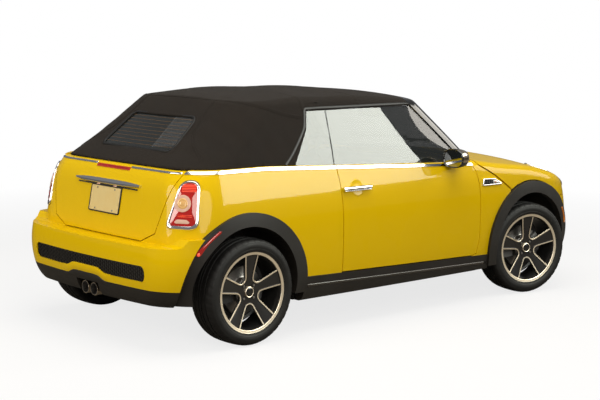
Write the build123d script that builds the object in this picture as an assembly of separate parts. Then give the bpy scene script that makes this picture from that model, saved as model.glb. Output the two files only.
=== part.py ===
from build123d import *
import math
import os

# Two-door convertible car with a raised fabric top. Millimetres. +X is forward, +Y is the car's left,
# +Z is up, and the origin is on the ground, midway along the car and on its centreline.

os.makedirs("parts", exist_ok=True)

# ---- driving dimensions -------------------------------------------------------------------------
length = 3714.0
body_width = 1644.0  # over the painted sides, without the plastic arch trims
arch_trim_depth = 19.5  # how far the arch trims stand out from the painted side
height = 1414.0
wheelbase = 2467.0
rear_overhang = 587.0
front_track = 1453.0
rear_track = 1461.0

tyre_radius = 308.0
tyre_width = 205.0
rim_radius = 233.0
rim_width = 190.0
steer_at_rest = -12.0  # degrees about +Z, as parked: turned a little to the right

arch_opening_radius = 352.0
arch_trim_radius = 430.0
arch_centre_back = 18.0  # arch centre behind the axle
arch_centre_height = 335.0
housing_inner_y = 440.0

door_front_back = 542.0  # door's front edge behind the front axle
door_length = 1220.0
door_thickness = 92.0
side_wall = 55.0  # rear quarter thickness
panel_gap = 6.0
skin = 22.0  # bonnet, wing and bumper thickness
sill_bottom = 212.0
sill_depth = 40.0
sill_join_height = 342.0  # at the door's rear edge, falling forward
sill_slope = 0.0258

belt_rear_height = 1006.0
belt_kink_x = -1100.0  # behind this the waistline is level
belt_slope = 0.048

glass_thickness = 5.0
glass_inset = 9.0  # side glass inside the fabric's outer face
fabric_thickness = 20.0
header_depth = 78.0  # windscreen header and pillar depth, along the car

half_body = body_width / 2
nose_x = length / 2
tail_x = -length / 2
rear_axle_x = tail_x + rear_overhang
front_axle_x = rear_axle_x + wheelbase
door_front_x = front_axle_x - door_front_back
door_rear_x = door_front_x - door_length
far = 1200.0  # past the sides, for cutters


def belt(x):
    """Height of the waistline at a station along the car."""
    return belt_rear_height - belt_slope * max(0.0, x - belt_kink_x)


# ---- outer form: plan sections, then a crowned top ----------------------------------------------
# height, side tucked in, nose set back, tail set forward, front bow, rear bow, front and rear corner
body_levels = [
    (170, 46, 95, 165, 150, 60, 330, 230),
    (330, 10, 14, 128, 150, 40, 380, 250),
    (500, 0, 0, 116, 150, 30, 400, 262),
    (640, 0, 22, 123, 150, 24, 400, 265),
    (760, 9, 66, 146, 150, 20, 380, 265),
    (860, 30, 118, 165, 150, 16, 360, 262),
    (950, 62, 168, 195, 150, 14, 340, 250),
    (1040, 104, 218, 262, 150, 12, 320, 235),
]
# station along the car, height on the centreline, height at the side
bonnet_stations = [
    (300, 985, 948),
    (560, 972, 934),
    (830, 958, 912),
    (1128, 926, 874),
    (1340, 892, 836),
    (1500, 852, 790),
    (1650, 792, 724),
    (1760, 715, 640),
    (1900, 580, 520),
]
bonnet_edge_radius = 90.0
nose_split_x = 612.0
crown_half = 900.0  # crown sections run past the sides, where they fall this much further
crown_fall = 34.0

# height, half width, windscreen station, rear station, front bow, rear bow, front and rear corner
cabin_levels = [
    (900, 750, 868, -1725, 185, 26, 70, 215),
    (1010, 715, 760, -1600, 185, 34, 70, 235),
    (1110, 678, 660, -1478, 182, 44, 72, 260),
    (1220, 634, 550, -1348, 180, 54, 74, 280),
    (1330, 588, 440, -1222, 178, 60, 76, 300),
    (1440, 542, 330, -1100, 176, 62, 78, 300),
]
# station along the car, roof height on the centreline below the top, further drop at the side
roof_stations = [
    (-1700, 160, 78),
    (-1400, 82, 70),
    (-1200, 42, 64),
    (-1000, 14, 60),
    (-750, 0, 58),
    (-380, 2, 58),
    (0, 18, 57),
    (250, 44, 55),
    (450, 84, 46),
    (900, 204, 30),
]
roof_edge_radius = 80.0
roof_half = 820.0
roof_fall = 20.0  # further drop at roof_half


def plan_face(height_z, half, front, rear, front_bow, rear_bow, front_corner, rear_corner, bulge, inset):
    """A closed plan outline: bowed nose, tail and sides with rounded corners, drawn inset mm inside."""
    half, front, rear = half - inset, front - inset, rear + inset
    side_front = half - 1.6 * bulge
    side_rear = half - bulge
    x_front, x_rear = front - front_bow, rear + rear_bow
    middle = (front + rear) / 2
    with BuildSketch(Plane.XY.offset(height_z)) as sketch:
        with BuildLine():
            ThreePointArc((x_rear, side_rear), (rear, 0), (x_rear, -side_rear))
            ThreePointArc((x_rear, -side_rear), (middle, -half), (x_front, -side_front))
            ThreePointArc((x_front, -side_front), (front, 0), (x_front, side_front))
            ThreePointArc((x_front, side_front), (middle, half), (x_rear, side_rear))
        make_face()
        fillet([v for v in sketch.vertices() if v.X < middle], max(rear_corner - inset, 20))
        front_points = [v for v in sketch.vertices() if abs(v.X - x_front) < 1 and abs(v.Y) > side_front - 1]
        fillet(front_points, max(front_corner - inset, 20))
    return sketch.sketch.face()


def crown_face(station, centre, edge, half):
    """A wide section with a crowned top, for cutting a loft to its upper surface."""
    with BuildSketch(Plane.YZ.offset(station)) as sketch:
        with BuildLine():
            ThreePointArc((-half, edge), (0, centre), (half, edge))
            Polyline((half, edge), (half, 0), (-half, 0), (-half, edge))
        make_face()
    return sketch.sketch.face()


def body_plan(inset=0.0):
    faces = []
    for z, tuck, back, forward, bow_f, bow_r, corner_f, corner_r in body_levels:
        faces.append(plan_face(z, half_body - tuck, nose_x - back, tail_x + forward, bow_f, bow_r,
                               corner_f, corner_r, 18, inset))
    return loft(faces)


def side_prism(points, y_low=-far, y_high=far):
    """A side-view outline of (x, z) points carried across the car."""
    return extrude(Plane.XZ.offset(-y_low) * make_face(Polyline(*points, close=True)), -(y_high - y_low))


def rear_prism(points, x_low, x_high):
    """An end-view outline of (y, z) points carried along the car."""
    return extrude(Plane.YZ.offset(x_low) * make_face(Polyline(*points, close=True)), x_high - x_low)


def block(x0, x1, y0, y1, z0, z1):
    return Pos((x0 + x1) / 2, (y0 + y1) / 2, (z0 + z1) / 2) * Box(x1 - x0, y1 - y0, z1 - z0)


def cross_cylinder(x, z, radius, y_low, y_high):
    """A round bar across the car."""
    return Pos(x, (y_low + y_high) / 2, z) * Rot(90, 0, 0) * Cylinder(radius, y_high - y_low)


def mirrored(shape):
    return mirror(shape, about=Plane.XZ)


def both(shape):
    return shape + mirrored(shape)


def body_volume(inset=0.0, drop=None):
    """The painted lower body as one closed form, inset mm inside the skin all round."""
    drop = inset if drop is None else drop
    plan = body_plan(inset)
    crown = loft([crown_face(x, centre - drop, edge - drop - crown_fall, crown_half)
                  for x, centre, edge in bonnet_stations])
    nose = plan & crown & block(nose_split_x, nose_x + 100, -far, far, 100, 1200)
    rims = []
    for edge in nose.edges():
        box = edge.bounding_box()
        rises = box.max.Z - box.min.Z
        ends_on_split = box.max.X < nose_split_x + 2
        if box.min.Z > 540 and rises < 300 and not ends_on_split and edge.length > 60:
            rims.append(edge)
    nose = nose.fillet(max(bonnet_edge_radius - inset, 30), rims)
    level = belt_rear_height - drop
    cabin = plan & side_prism([
        (tail_x - 50, 100), (tail_x - 50, level), (belt_kink_x, level),
        (nose_split_x, belt(nose_split_x) - drop), (nose_split_x, 100)])
    return cabin + nose


def cabin_volume(inset=0.0):
    """The closed form of windscreen, side glass and fabric top, inset mm inside."""
    faces = []
    for z, half, front, rear, bow_f, bow_r, corner_f, corner_r in cabin_levels:
        faces.append(plan_face(z, half, front, rear, bow_f, bow_r, corner_f, corner_r, 6, inset))
    sides = loft(faces)
    crown = loft([crown_face(x, height - drop - inset, height - drop - side_drop - roof_fall - inset, roof_half)
                  for x, drop, side_drop in roof_stations])
    form = sides & crown
    rims = []
    for edge in form.edges():
        box = edge.bounding_box()
        if box.min.Z > 1180 and box.max.Z - box.min.Z < 200 and edge.length > 20:
            rims.append(edge)
    return form.fillet(max(roof_edge_radius - inset, 25), rims)


def save(name, shape):
    solids = shape.solids()
    whole = solids[0] if len(solids) == 1 else Compound(children=list(solids))
    export_step(whole, "parts/" + name + ".step")


def sill_top(x):
    """Height of the join between the sill trim and the painted side."""
    return sill_join_height - sill_slope * (x - door_rear_x)


def rod(start, end, radius):
    """A round bar between two points."""
    start, end = Vector(*start), Vector(*end)
    return extrude(Plane(origin=start, z_dir=end - start) * Circle(radius), (end - start).length)


def arch(axle_x, radius, y_low=-far, y_high=far):
    return cross_cylinder(axle_x - arch_centre_back, arch_centre_height, radius, y_low, y_high)


outer = body_volume()
inner = body_volume(skin)
plan_core = body_plan(side_wall)
cabin_outer = cabin_volume()
glass_outer = cabin_volume(glass_inset)
glass_inner = cabin_volume(glass_inset + glass_thickness)
cabin_inner = cabin_volume(fabric_thickness)

# ---- painted sides ------------------------------------------------------------------------------
door_top = belt_rear_height + 60
door_toe = 55.0  # rounding at the door's lower front corner, along the car
door_shoulder = 43.0  # how far the upper front edge leans back
door_outline = [
    (door_rear_x, door_top),
    (door_rear_x, sill_top(door_rear_x) + panel_gap),
    (door_front_x - door_toe, sill_top(door_front_x - door_toe) + panel_gap),
    (door_front_x - 20, sill_top(door_front_x - 20) + panel_gap + 14),
    (door_front_x, 430),
    (door_front_x, 780),
    (door_front_x - 18, 865),
    (door_front_x - door_shoulder, 925),
    (door_front_x - door_shoulder, door_top),
]
bonnet_side_line = [(660, 1000), (690, 905), (825, 832), (975, 730)]
bonnet_front_z = 640.0
quarter_bottom = 656.0
lid_bottom = 600.0
lid_top = 1001.0
lid_outline = [
    (-620, lid_top), (-512, 655), (-391, lid_bottom), (391, lid_bottom), (512, 655), (620, lid_top)]
cowl_half = 690.0

door_prism = side_prism(door_outline, 0, far)
door_hole = extrude(Plane.XZ * offset(make_face(Polyline(*door_outline, close=True)), panel_gap), -far)
lid_cut_reach = 1500.0
lid_prism = rear_prism(lid_outline, tail_x, -lid_cut_reach)
lid_hole = extrude(Plane.YZ.offset(tail_x) * offset(make_face(Polyline(*lid_outline, close=True)), panel_gap),
                   -tail_x - lid_cut_reach)

rear_arch_cut = arch(rear_axle_x, arch_trim_radius)
front_arch_cut = arch(front_axle_x, arch_trim_radius)

quarter_zone = side_prism([
    (tail_x - 20, quarter_bottom), (rear_axle_x - 250, quarter_bottom), (rear_axle_x, quarter_bottom),
    (rear_axle_x, 300), (rear_axle_x + 400, sill_top(rear_axle_x + 400)),
    (door_rear_x, sill_top(door_rear_x)), (door_rear_x, door_top), (tail_x - 20, door_top)], 0, far)
quarter = (outer - plan_core) & quarter_zone
quarter = quarter - door_hole - rear_arch_cut - lid_hole

lamp_axis = Plane(origin=(-1480, 515, 825), x_dir=(-0.7071, -0.7071, 0), z_dir=(-0.7071, 0.7071, 0))
lamp_width = 152.0
lamp_height = 244.0
lamp_stand_out = 7.0
lamp_clearance = 0.3
lamp_cut_reach = 400.0
lamp_prism = extrude(lamp_axis * Ellipse(lamp_width / 2, lamp_height / 2), lamp_cut_reach)
lamp_hole = extrude(lamp_axis * Ellipse(lamp_width / 2 + lamp_clearance, lamp_height / 2 + lamp_clearance),
                    lamp_cut_reach)
quarter = quarter - lamp_hole
tail_lamp = ((body_plan(-lamp_stand_out) & lamp_prism) - plan_core) - lid_hole
save("quarter_panels", both(quarter))
save("tail_lamps", both(tail_lamp))

wing_rear_x = door_front_x - 120
wing_front_x = bonnet_side_line[-1][0] - 15
bonnet_clearance = 8.0
wing_top = [(x - bonnet_clearance, z - bonnet_clearance) for x, z in bonnet_side_line]
wing_zone = side_prism([
    (wing_rear_x, 1000), (wing_rear_x, sill_top(wing_rear_x)), (wing_front_x, sill_top(wing_front_x)),
    (wing_front_x, 640)] + wing_top[::-1], cowl_half, far)
wing = ((outer - inner) & wing_zone) - door_hole - front_arch_cut
save("front_wings", both(wing))

# ---- bonnet, its lamps and the cowl -------------------------------------------------------------
bonnet_rear_centre = 880.0
bonnet_rear_bow = 180.0
bonnet_rear_half = 640.0


def ahead_of(centre_x, z_low, z_high):
    """Everything ahead of a bowed line across the car."""
    x_side = centre_x - bonnet_rear_bow
    with BuildSketch(Plane.XY.offset(z_low)) as sketch:
        with BuildLine():
            arc = ThreePointArc((x_side, -bonnet_rear_half), (centre_x, 0), (x_side, bonnet_rear_half))
            Polyline(arc @ 1, (x_side - 140, far), (nose_x + 200, far), (nose_x + 200, -far),
                     (x_side - 140, -far), arc @ 0)
        make_face()
    return extrude(sketch.sketch, z_high - z_low)


bonnet_zone = side_prism(bonnet_side_line + [
    (990, bonnet_front_z), (nose_x + 50, bonnet_front_z), (nose_x + 50, 1150), (640, 1150)])
bonnet = (outer - inner) & bonnet_zone & ahead_of(bonnet_rear_centre, 500, 1200)
bonnet = bonnet - arch(front_axle_x, arch_trim_radius + panel_gap)
headlamp_y, headlamp_z, headlamp_radius = 565.0, 748.0, 96.0
headlamp_cut = Pos(1750, headlamp_y, headlamp_z) * Rot(0, 90, 0) * Cylinder(headlamp_radius, 700)
bonnet = bonnet - both(headlamp_cut)
save("bonnet", bonnet)
lens_thickness, bowl_back = 8.0, 70.0
lens_core = body_volume(lens_thickness)
lens = (outer & headlamp_cut) - lens_core
bowl = (lens_core & headlamp_cut) - body_volume(bowl_back)
save("headlamp_lenses", both(lens))
save("headlamp_bowls", both(bowl))

cowl = (outer - inner) & block(door_front_x - 40, 1000, -cowl_half, cowl_half, 850, 1100)
cowl = cowl - ahead_of(bonnet_rear_centre - panel_gap, 500, 1200) - cabin_outer
save("cowl", cowl)

# ---- bumpers ------------------------------------------------------------------------------------
front_bumper_zone = block(front_axle_x, nose_x + 50, -far, far, 225, bonnet_front_z - panel_gap)
front_bumper = (outer - inner) & front_bumper_zone - front_arch_cut
upper_grille_outline = [(-400, 628), (-330, 548), (330, 548), (400, 628)]
lower_grille_outline = [(-500, 385), (-440, 262), (440, 262), (500, 385)]
upper_mouth = rear_prism(upper_grille_outline, 1500, nose_x + 50)
lower_mouth = rear_prism(lower_grille_outline, 1500, nose_x + 50)
fog_lamp_y, fog_lamp_z, fog_lamp_radius = 625.0, 420.0, 48.0
fog_lamp_cut = both(Pos(1700, fog_lamp_y, fog_lamp_z) * Rot(0, 90, 0) * Cylinder(fog_lamp_radius, 700))
save("front_bumper", front_bumper - upper_mouth - lower_mouth - fog_lamp_cut)
grille_front, grille_back = 12.0, 34.0  # grille's faces behind the bumper's
grille_core = body_plan(grille_front) - body_plan(grille_back)
save("grilles", (grille_core & upper_mouth) + (grille_core & lower_mouth))
fog_lamp_front, fog_lamp_back = 1.0, 60.0
fog_lamp_form = body_plan(fog_lamp_front) - body_plan(fog_lamp_back)
save("fog_lamps", fog_lamp_form & fog_lamp_cut & block(1400, 2000, -far, far, 300, 600))

# height, side tucked in, tail set forward of the bumper's rearmost point
bumper_levels = [(255, 60, 52), (300, 34, 26), (380, 12, 6), (470, 0, 0), (560, 0, 6), (640, 4, 20)]


def bumper_form(inset):
    faces = []
    for z, tuck, forward in bumper_levels:
        faces.append(plan_face(z, half_body - tuck, nose_x - 100, tail_x + forward, 100, 52,
                               300, 262, 14, inset))
    return loft(faces)


bumper_thickness = 25.0
shelf_prism = side_prism([(tail_x - 80, 100), (rear_axle_x, 100), (rear_axle_x, quarter_bottom),
                          (tail_x + 190, quarter_bottom), (tail_x + 150, 606), (tail_x + 120, 594),
                          (tail_x + 12, 590), (tail_x - 80, 572)])
shelf_inner = side_prism([(tail_x - 80, 50), (rear_axle_x, 50), (rear_axle_x, 569),
                          (tail_x + 12, 565), (tail_x - 80, 547)])
quarter_band = outer & side_prism([
    (tail_x, 560), (rear_axle_x, 560), (rear_axle_x, quarter_bottom), (tail_x, quarter_bottom)])
rear_bumper = (bumper_form(0) & shelf_prism) + quarter_band
rear_bumper = rear_bumper - (bumper_form(bumper_thickness) & shelf_inner) - body_plan(skin)
rear_bumper = rear_bumper & block(tail_x - 50, rear_axle_x, -far, far, 240, 700)
rear_bumper = rear_bumper - rear_arch_cut - lid_hole
valance_top = 352.0
insert_half, insert_low, insert_high, insert_depth = 564.0, 395.0, 485.0, 8.0
insert_outline = [(-insert_half, insert_low), (-insert_half, insert_high), (insert_half, insert_high),
                  (insert_half, insert_low)]
insert_prism = rear_prism(insert_outline, tail_x - 50, -1650)
slot_half, slot_top = 112.0, 330.0
exhaust_slot = block(tail_x - 50, -1700, -slot_half, slot_half, 200, slot_top)
valance = (rear_bumper & block(tail_x - 50, rear_axle_x, -far, far, 200, valance_top)) - exhaust_slot
bumper_painted = (rear_bumper & block(tail_x - 50, rear_axle_x, -far, far, valance_top, 700)) - insert_prism
save("rear_bumper", bumper_painted)
bumper_insert = (bumper_form(insert_depth) - bumper_form(bumper_thickness)) & insert_prism
save("rear_valance", valance + bumper_insert)

# ---- lid ----------------------------------------------------------------------------------------
lid_thickness = 26.0
lid = (outer - body_plan(lid_thickness)) & lid_prism
save("lid", lid)
plate_width, plate_height, plate_bottom = 305.0, 152.0, 719.0
plate_zone = block(tail_x, -1600, -plate_width / 2, plate_width / 2, plate_bottom,
                   plate_bottom + plate_height)
# half width, bottom, top, and how far it stands out of the lid
lid_bars = {"lid_handle": (328, 880, 905, 16), "lid_brake_lamp": (168, 972, 990, 3)}
plate_thickness = 5.0
save("number_plate", (body_plan(-plate_thickness) - outer) & plate_zone)
for name, (half, low, high, stand_out) in lid_bars.items():
    save(name, (body_plan(-stand_out) - outer) & block(tail_x, -1600, -half, half, low, high))

# ---- arch and sill trims, wheel housings --------------------------------------------------------
trim_back = 24.0
front_housing_radius = 392.0
trim_body = body_plan(-arch_trim_depth) - body_plan(trim_back)
housing_thickness = 8.0
trim_inner_y = 600.0
trim_step_y = 762.0  # inboard of this the arch widens to clear the steered tyre


def arch_trim(axle_x, z_low, step_y):
    ring = arch(axle_x, arch_trim_radius, trim_inner_y, far) - arch(axle_x, arch_opening_radius, 0, far)
    keep = block(axle_x - 600, axle_x + 600, 0, far, z_low, 900)
    return ((trim_body & ring) & keep) - arch(axle_x, front_housing_radius, 0, step_y)


def housing(axle_x, radius):
    shell = arch(axle_x, radius + housing_thickness, housing_inner_y, far)
    shell = shell - arch(axle_x, radius, housing_inner_y + housing_thickness, far)
    return shell & body_plan(trim_back) & block(axle_x - 600, axle_x + 600, 0, far, arch_centre_height, 900)


save("arch_trims", both(arch_trim(rear_axle_x, 262, 1)) + both(arch_trim(front_axle_x, 228, trim_step_y)))
save("wheel_housings", both(housing(rear_axle_x, arch_opening_radius))
     + both(housing(front_axle_x, front_housing_radius)))

sill_stand_out = 8.0
sill_rear_x = rear_axle_x + 200
sill_front_x = front_axle_x - 200
sill_zone = side_prism([
    (sill_rear_x, sill_bottom), (sill_rear_x, sill_top(sill_rear_x)),
    (sill_front_x, sill_top(sill_front_x)), (sill_front_x, sill_bottom)], 0, far)
sill_trim = (body_plan(-sill_stand_out) - body_plan(sill_depth)) & sill_zone
sill_trim = sill_trim - rear_arch_cut - front_arch_cut
save("sill_trims", both(sill_trim))

# ---- floor, firewall and frame ------------------------------------------------------------------
floor_bottom, floor_thickness = 196.0, 16.0
firewall_x = 700.0
riser_x = -850.0
boot_floor_z = 400.0
tub = body_plan(sill_depth) & block(riser_x, firewall_x + 12, -far, far, floor_bottom,
                                    floor_bottom + floor_thickness)
sills = body_plan(sill_depth) & both(block(riser_x, firewall_x, 640, far, floor_bottom, 300))
riser = block(riser_x - 12, riser_x, -700, 700, floor_bottom, boot_floor_z + 14)
boot_floor = body_plan(side_wall) & block(-1700, riser_x, -far, far, boot_floor_z, boot_floor_z + 14)
boot_floor = boot_floor - both(arch(rear_axle_x, arch_opening_radius + housing_thickness,
                                    housing_inner_y, far))
rear_panel = block(-1719, -1700, -480, 480, 300, 590) & body_plan(skin + 0.3)
rear_panel = rear_panel - block(-1800, -1600, -92, 92, 200, 325)

firewall_low = body_plan(sill_depth) & block(firewall_x, firewall_x + 12, -far, far,
                                             floor_bottom + floor_thickness, sill_top(firewall_x) + 4)
firewall = inner & block(firewall_x, firewall_x + 12, -far, far, sill_top(firewall_x) + 4, 1100)
firewall = (firewall + firewall_low) - cabin_outer

rail_inner, rail_outer = 384.0, 432.0
rails = both(block(firewall_x + 12, 1700, rail_inner, rail_outer, 330, 410))
front_beam = block(1660, 1700, -520, 520, 330, 520)

# ---- windscreen, glass and fabric top -----------------------------------------------------------
above_belt = side_prism([
    (tail_x, belt_rear_height), (belt_kink_x, belt_rear_height), (firewall_x, belt(firewall_x)),
    (firewall_x, 1500), (tail_x, 1500)])
pillar_thickness = 42.0
side_margin = 60.0


def behind_screen(depth):
    """The cabin behind a surface set depth behind the windscreen's face."""
    faces = []
    for z, half, front, rear, bow_f, bow_r, corner_f, corner_r in cabin_levels:
        wide = half + side_margin
        bow = bow_f * (wide / half) ** 2
        faces.append(plan_face(z, wide, front - depth, tail_x, bow, 40, 25, 60, 6, 0))
    return loft(faces)


roof_zone = behind_screen(header_depth)
with BuildSketch(Plane.YZ) as screen_sketch:
    with BuildLine():
        header_line = ThreePointArc((-545, 1268), (0, 1332), (545, 1268))
        Polyline(header_line @ 1, (668, 880), (-668, 880), header_line @ 0)
    make_face()
screen_prism = extrude(screen_sketch.sketch, nose_x)
clear_front_x = door_front_x - door_shoulder + panel_gap
door_clear = side_prism([(0, 800), (0, belt(0) + panel_gap), (clear_front_x, belt(door_front_x) + 8),
                         (clear_front_x, 800)])
frame = (cabin_outer - cabin_volume(pillar_thickness)) & block(0, 1000, -far, far, 900, 1450)
frame = frame - roof_zone - outer - screen_prism - door_clear
save("windscreen_frame", frame)
screen_glass = (glass_outer - glass_inner) & screen_prism & block(150, 1000, -far, far, 900, 1450)
screen_glass = screen_glass - outer - roof_zone

rail_height = 1303.0
window_rear = [(-935, 900), (-713, 1196), (-675, rail_height)]
side_opening = side_prism(window_rear + [(firewall_x, rail_height), (firewall_x, 900)])
rear_window_outline = [(-349, 1090), (-311, 1268), (311, 1268), (349, 1090)]
rear_window_prism = rear_prism(rear_window_outline, tail_x, -900)
fabric = (cabin_outer - cabin_inner) & roof_zone & above_belt
save("fabric_top", fabric - side_opening - rear_window_prism)
glass = (glass_outer - glass_inner) & above_belt
rear_glass = glass & rear_window_prism
divider_bottom_x, divider_top_x, divider_gap = -549.0, -515.0, 8.0
quarter_glass_zone = side_prism(window_rear + [
    (divider_top_x - divider_gap, rail_height), (divider_bottom_x - divider_gap - 8, 900)], 0, far)
door_glass_zone = side_prism([
    (divider_top_x, rail_height - panel_gap), (firewall_x, rail_height - panel_gap), (firewall_x, 900),
    (divider_bottom_x - 8, 900)], 0, far)
save("fixed_windows", screen_glass + rear_glass + both(glass & quarter_glass_zone))
door_glass = glass & door_glass_zone & behind_screen(header_depth + divider_gap)

# ---- doors --------------------------------------------------------------------------------------
hinge_step = 16.0  # inner door set in from the rear shut line
door_skin_edge = 25.0
door = (outer & door_prism) - body_plan(door_thickness)
step_zone = block(door_rear_x - 5, door_rear_x + hinge_step, 0, far, 300, 1100)
door = door - (body_plan(door_skin_edge) & step_zone)
strip_low, strip_high, strip_stand_out = 20.0, 4.0, 4.0
belt_band = side_prism([
    (tail_x, belt_rear_height - strip_low), (belt_kink_x, belt_rear_height - strip_low),
    (door_front_x, belt(door_front_x) - strip_low), (door_front_x, belt(door_front_x) - strip_high),
    (belt_kink_x, belt_rear_height - strip_high), (tail_x, belt_rear_height - strip_high)], 0, far)
strip = (body_plan(-strip_stand_out) & belt_band) - outer
handle_stand_out, handle_low, handle_high, handle_rear, handle_front = 24.0, 828.0, 847.0, -556.0, -338.0
handle_zone = block(handle_rear, handle_front, 600, far, handle_low, handle_high)
handle_bar = (body_plan(-handle_stand_out) & handle_zone) - outer
door_trim = (strip & door_prism) + handle_bar
save("belt_trim", both((strip & quarter_zone) - door_hole - lid_hole))
mirror_head = fillet(Box(112, 168, 124).edges(), 48)
mirror_arm = Box(60, 120, 26)
door_mirror = Pos(392, 856, 972) * mirror_head + Pos(420, 780, 922) * mirror_arm
door_mirror = door_mirror - outer - strip - cabin_outer
for side, place in (("left", lambda shape: shape), ("right", mirrored)):
    save("door_" + side, place(door))
    save("door_glass_" + side, place(door_glass))
    save("door_trim_" + side, place(door_trim))
    save("door_mirror_" + side, place(door_mirror))

hinge_pads = [(735, 780, 430, 480), (735, 780, 700, 750)]
pads = [block(door_front_x + 0.3, firewall_x, y0, y1, z0, z1) for y0, y1, z0, z1 in hinge_pads]
bonnet_pad = (Pos(0, 0, -0.4) * inner) & block(firewall_x + 12, firewall_x + 40, 540, 580, 840, 1000)
lid_pad = block(-1719, -1700, 240, 300, 590, lid_bottom - 0.3) - rear_bumper
save("hinge_pads", both(pads[0] + pads[1] + bonnet_pad + lid_pad))

# ---- trim on the arches and wings ---------------------------------------------------------------
marker_outer, marker_inner, marker_stand_out = 414.0, 370.0, 3.0
marker_skin = body_plan(-arch_trim_depth - marker_stand_out) - body_plan(-arch_trim_depth)


def marker(axle_x, x_low, x_high, z_low, z_high):
    ring = arch(axle_x, marker_outer, trim_inner_y, far) - arch(axle_x, marker_inner, 0, far)
    return (marker_skin & block(x_low, x_high, trim_inner_y, far, z_low, z_high)) & ring


save("rear_markers", both(marker(rear_axle_x, -1700, -1500, 531, 633)))
save("front_markers", both(marker(front_axle_x, 1400, 1600, 437, 553)))
scuttle_zone = side_prism([(680, 770), (692, 811), (812, 806), (880, 768)], 0, far)
scuttle_stand_out = 7.0
save("side_scuttles", both((body_plan(-scuttle_stand_out) & scuttle_zone) - outer))

# ---- wheels, hubs and steering ------------------------------------------------------------------
hub_face = 40.0  # wheel's mounting face outboard of its middle plane
rim_disc = 24.0
barrel_thickness = 14.0
bead_radius = rim_radius - 10
spindle_radius = 20.0
spindle_end = 6.0
carrier_face = -32.0
hub_start = -26.0
brake_disc_in, brake_disc_out, brake_disc_radius = -22.0, 0.0, 140.0
spokes = 5


def turned(points, side):
    """A ring turned about the axle line from (radius, width) points; width counts outboard."""
    profile = make_face(Polyline(*[Vector(r, 0, w) for r, w in points], close=True))
    return Rot(-90 * side, 0, 0) * revolve(profile, Axis.Z)


def make_tyre(side):
    half = tyre_width / 2
    outline = [(tyre_radius, half - 26), (tyre_radius - 15, half - 5), (tyre_radius - 45, half),
               (rim_radius + 6, half - 15), (bead_radius, half - 18)]
    return turned(outline + [(r, -w) for r, w in outline[::-1]], side)


def make_rim(side):
    half = rim_width / 2
    inner_r = bead_radius - barrel_thickness
    barrel = turned([(inner_r, -half), (rim_radius, -half), (rim_radius, -half + 8),
                     (bead_radius - 0.3, -half + 8), (bead_radius - 0.3, half - 8),
                     (rim_radius, half - 8), (rim_radius, half), (inner_r, half)], side)
    disc = turned([(0, hub_face), (82, hub_face), (inner_r + 4, hub_face + 26),
                   (inner_r + 4, hub_face + 26 + rim_disc), (60, hub_face + rim_disc),
                   (0, hub_face + rim_disc)], side)
    windows = []
    for i in range(spokes):
        window = Pos(142, 0, hub_face + 20) * Box(92, 108, 120)
        windows.append(Rot(-90 * side, 0, 0) * (Rot(0, 0, 360 / spokes * i) * window))
    for window in windows:
        disc = disc - window
    return barrel + disc


def make_brake(side):
    bore = spindle_radius + 0.3
    return turned([(bore, hub_start), (46, hub_start), (46, brake_disc_in), (brake_disc_radius, brake_disc_in),
                   (brake_disc_radius, brake_disc_out), (72, brake_disc_out), (72, hub_face),
                   (0, hub_face), (0, spindle_end + 3), (bore, spindle_end + 3)], side)


def make_carrier(side):
    """Hub carrier with its spindle and the caliper that straddles the brake disc."""
    body = turned([(0, carrier_face - 40), (52, carrier_face - 40), (52, carrier_face),
                   (spindle_radius, carrier_face), (spindle_radius, spindle_end), (0, spindle_end)], side)
    slot = turned([(0, brake_disc_in - 5), (brake_disc_radius + 6, brake_disc_in - 5),
                   (brake_disc_radius + 6, brake_disc_out + 5), (0, brake_disc_out + 5)], side)
    low, high = sorted((side * (carrier_face - 12), side * (brake_disc_out + 30)))
    caliper = block(-172, -92, low, high, -52, 52) - slot
    low, high = sorted((side * (carrier_face - 20), side * (carrier_face + 2)))
    return body, caliper + block(-110, -40, low, high, -34, 34)


kingpin_low_inset, kingpin_low_z = 46.0, 165.0
kingpin_top_inset, kingpin_top_z = 196.0, 700.0
axle_z = tyre_radius


def kingpin(side):
    low = Vector(front_axle_x, side * (front_track / 2 - kingpin_low_inset), kingpin_low_z)
    top = Vector(front_axle_x, side * (front_track / 2 - kingpin_top_inset), kingpin_top_z)
    return Axis(low, top - low)


def on_kingpin(side, z_low, z_high, radius):
    """A bar round the kingpin line between two heights."""
    line = kingpin(side)
    slope = line.direction
    ends = [line.position + slope * ((z - kingpin_low_z) / slope.Z) for z in (z_low, z_high)]
    return rod(ends[0], ends[1], radius)


def steered(shape, side):
    return shape.rotate(kingpin(side), steer_at_rest)


for name, side in (("left", 1), ("right", -1)):
    front = Location((front_axle_x, side * front_track / 2, axle_z))
    rear = Location((rear_axle_x, side * rear_track / 2, axle_z))
    for part_name, made in (("tyre", make_tyre(side)), ("rim", make_rim(side) + make_brake(side))):
        save(part_name + "_front_" + name, steered(made.moved(front), side))
        save(part_name + "_rear_" + name, made.moved(rear))
    body, caliper = make_carrier(side)
    strut = on_kingpin(side, 190, 640, 24) + on_kingpin(side, 138, 190, 10) + on_kingpin(side, 640, 668, 9)
    knuckle = body.moved(front) + strut + caliper.moved(front)
    save("knuckle_" + name, steered(knuckle, side))

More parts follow.
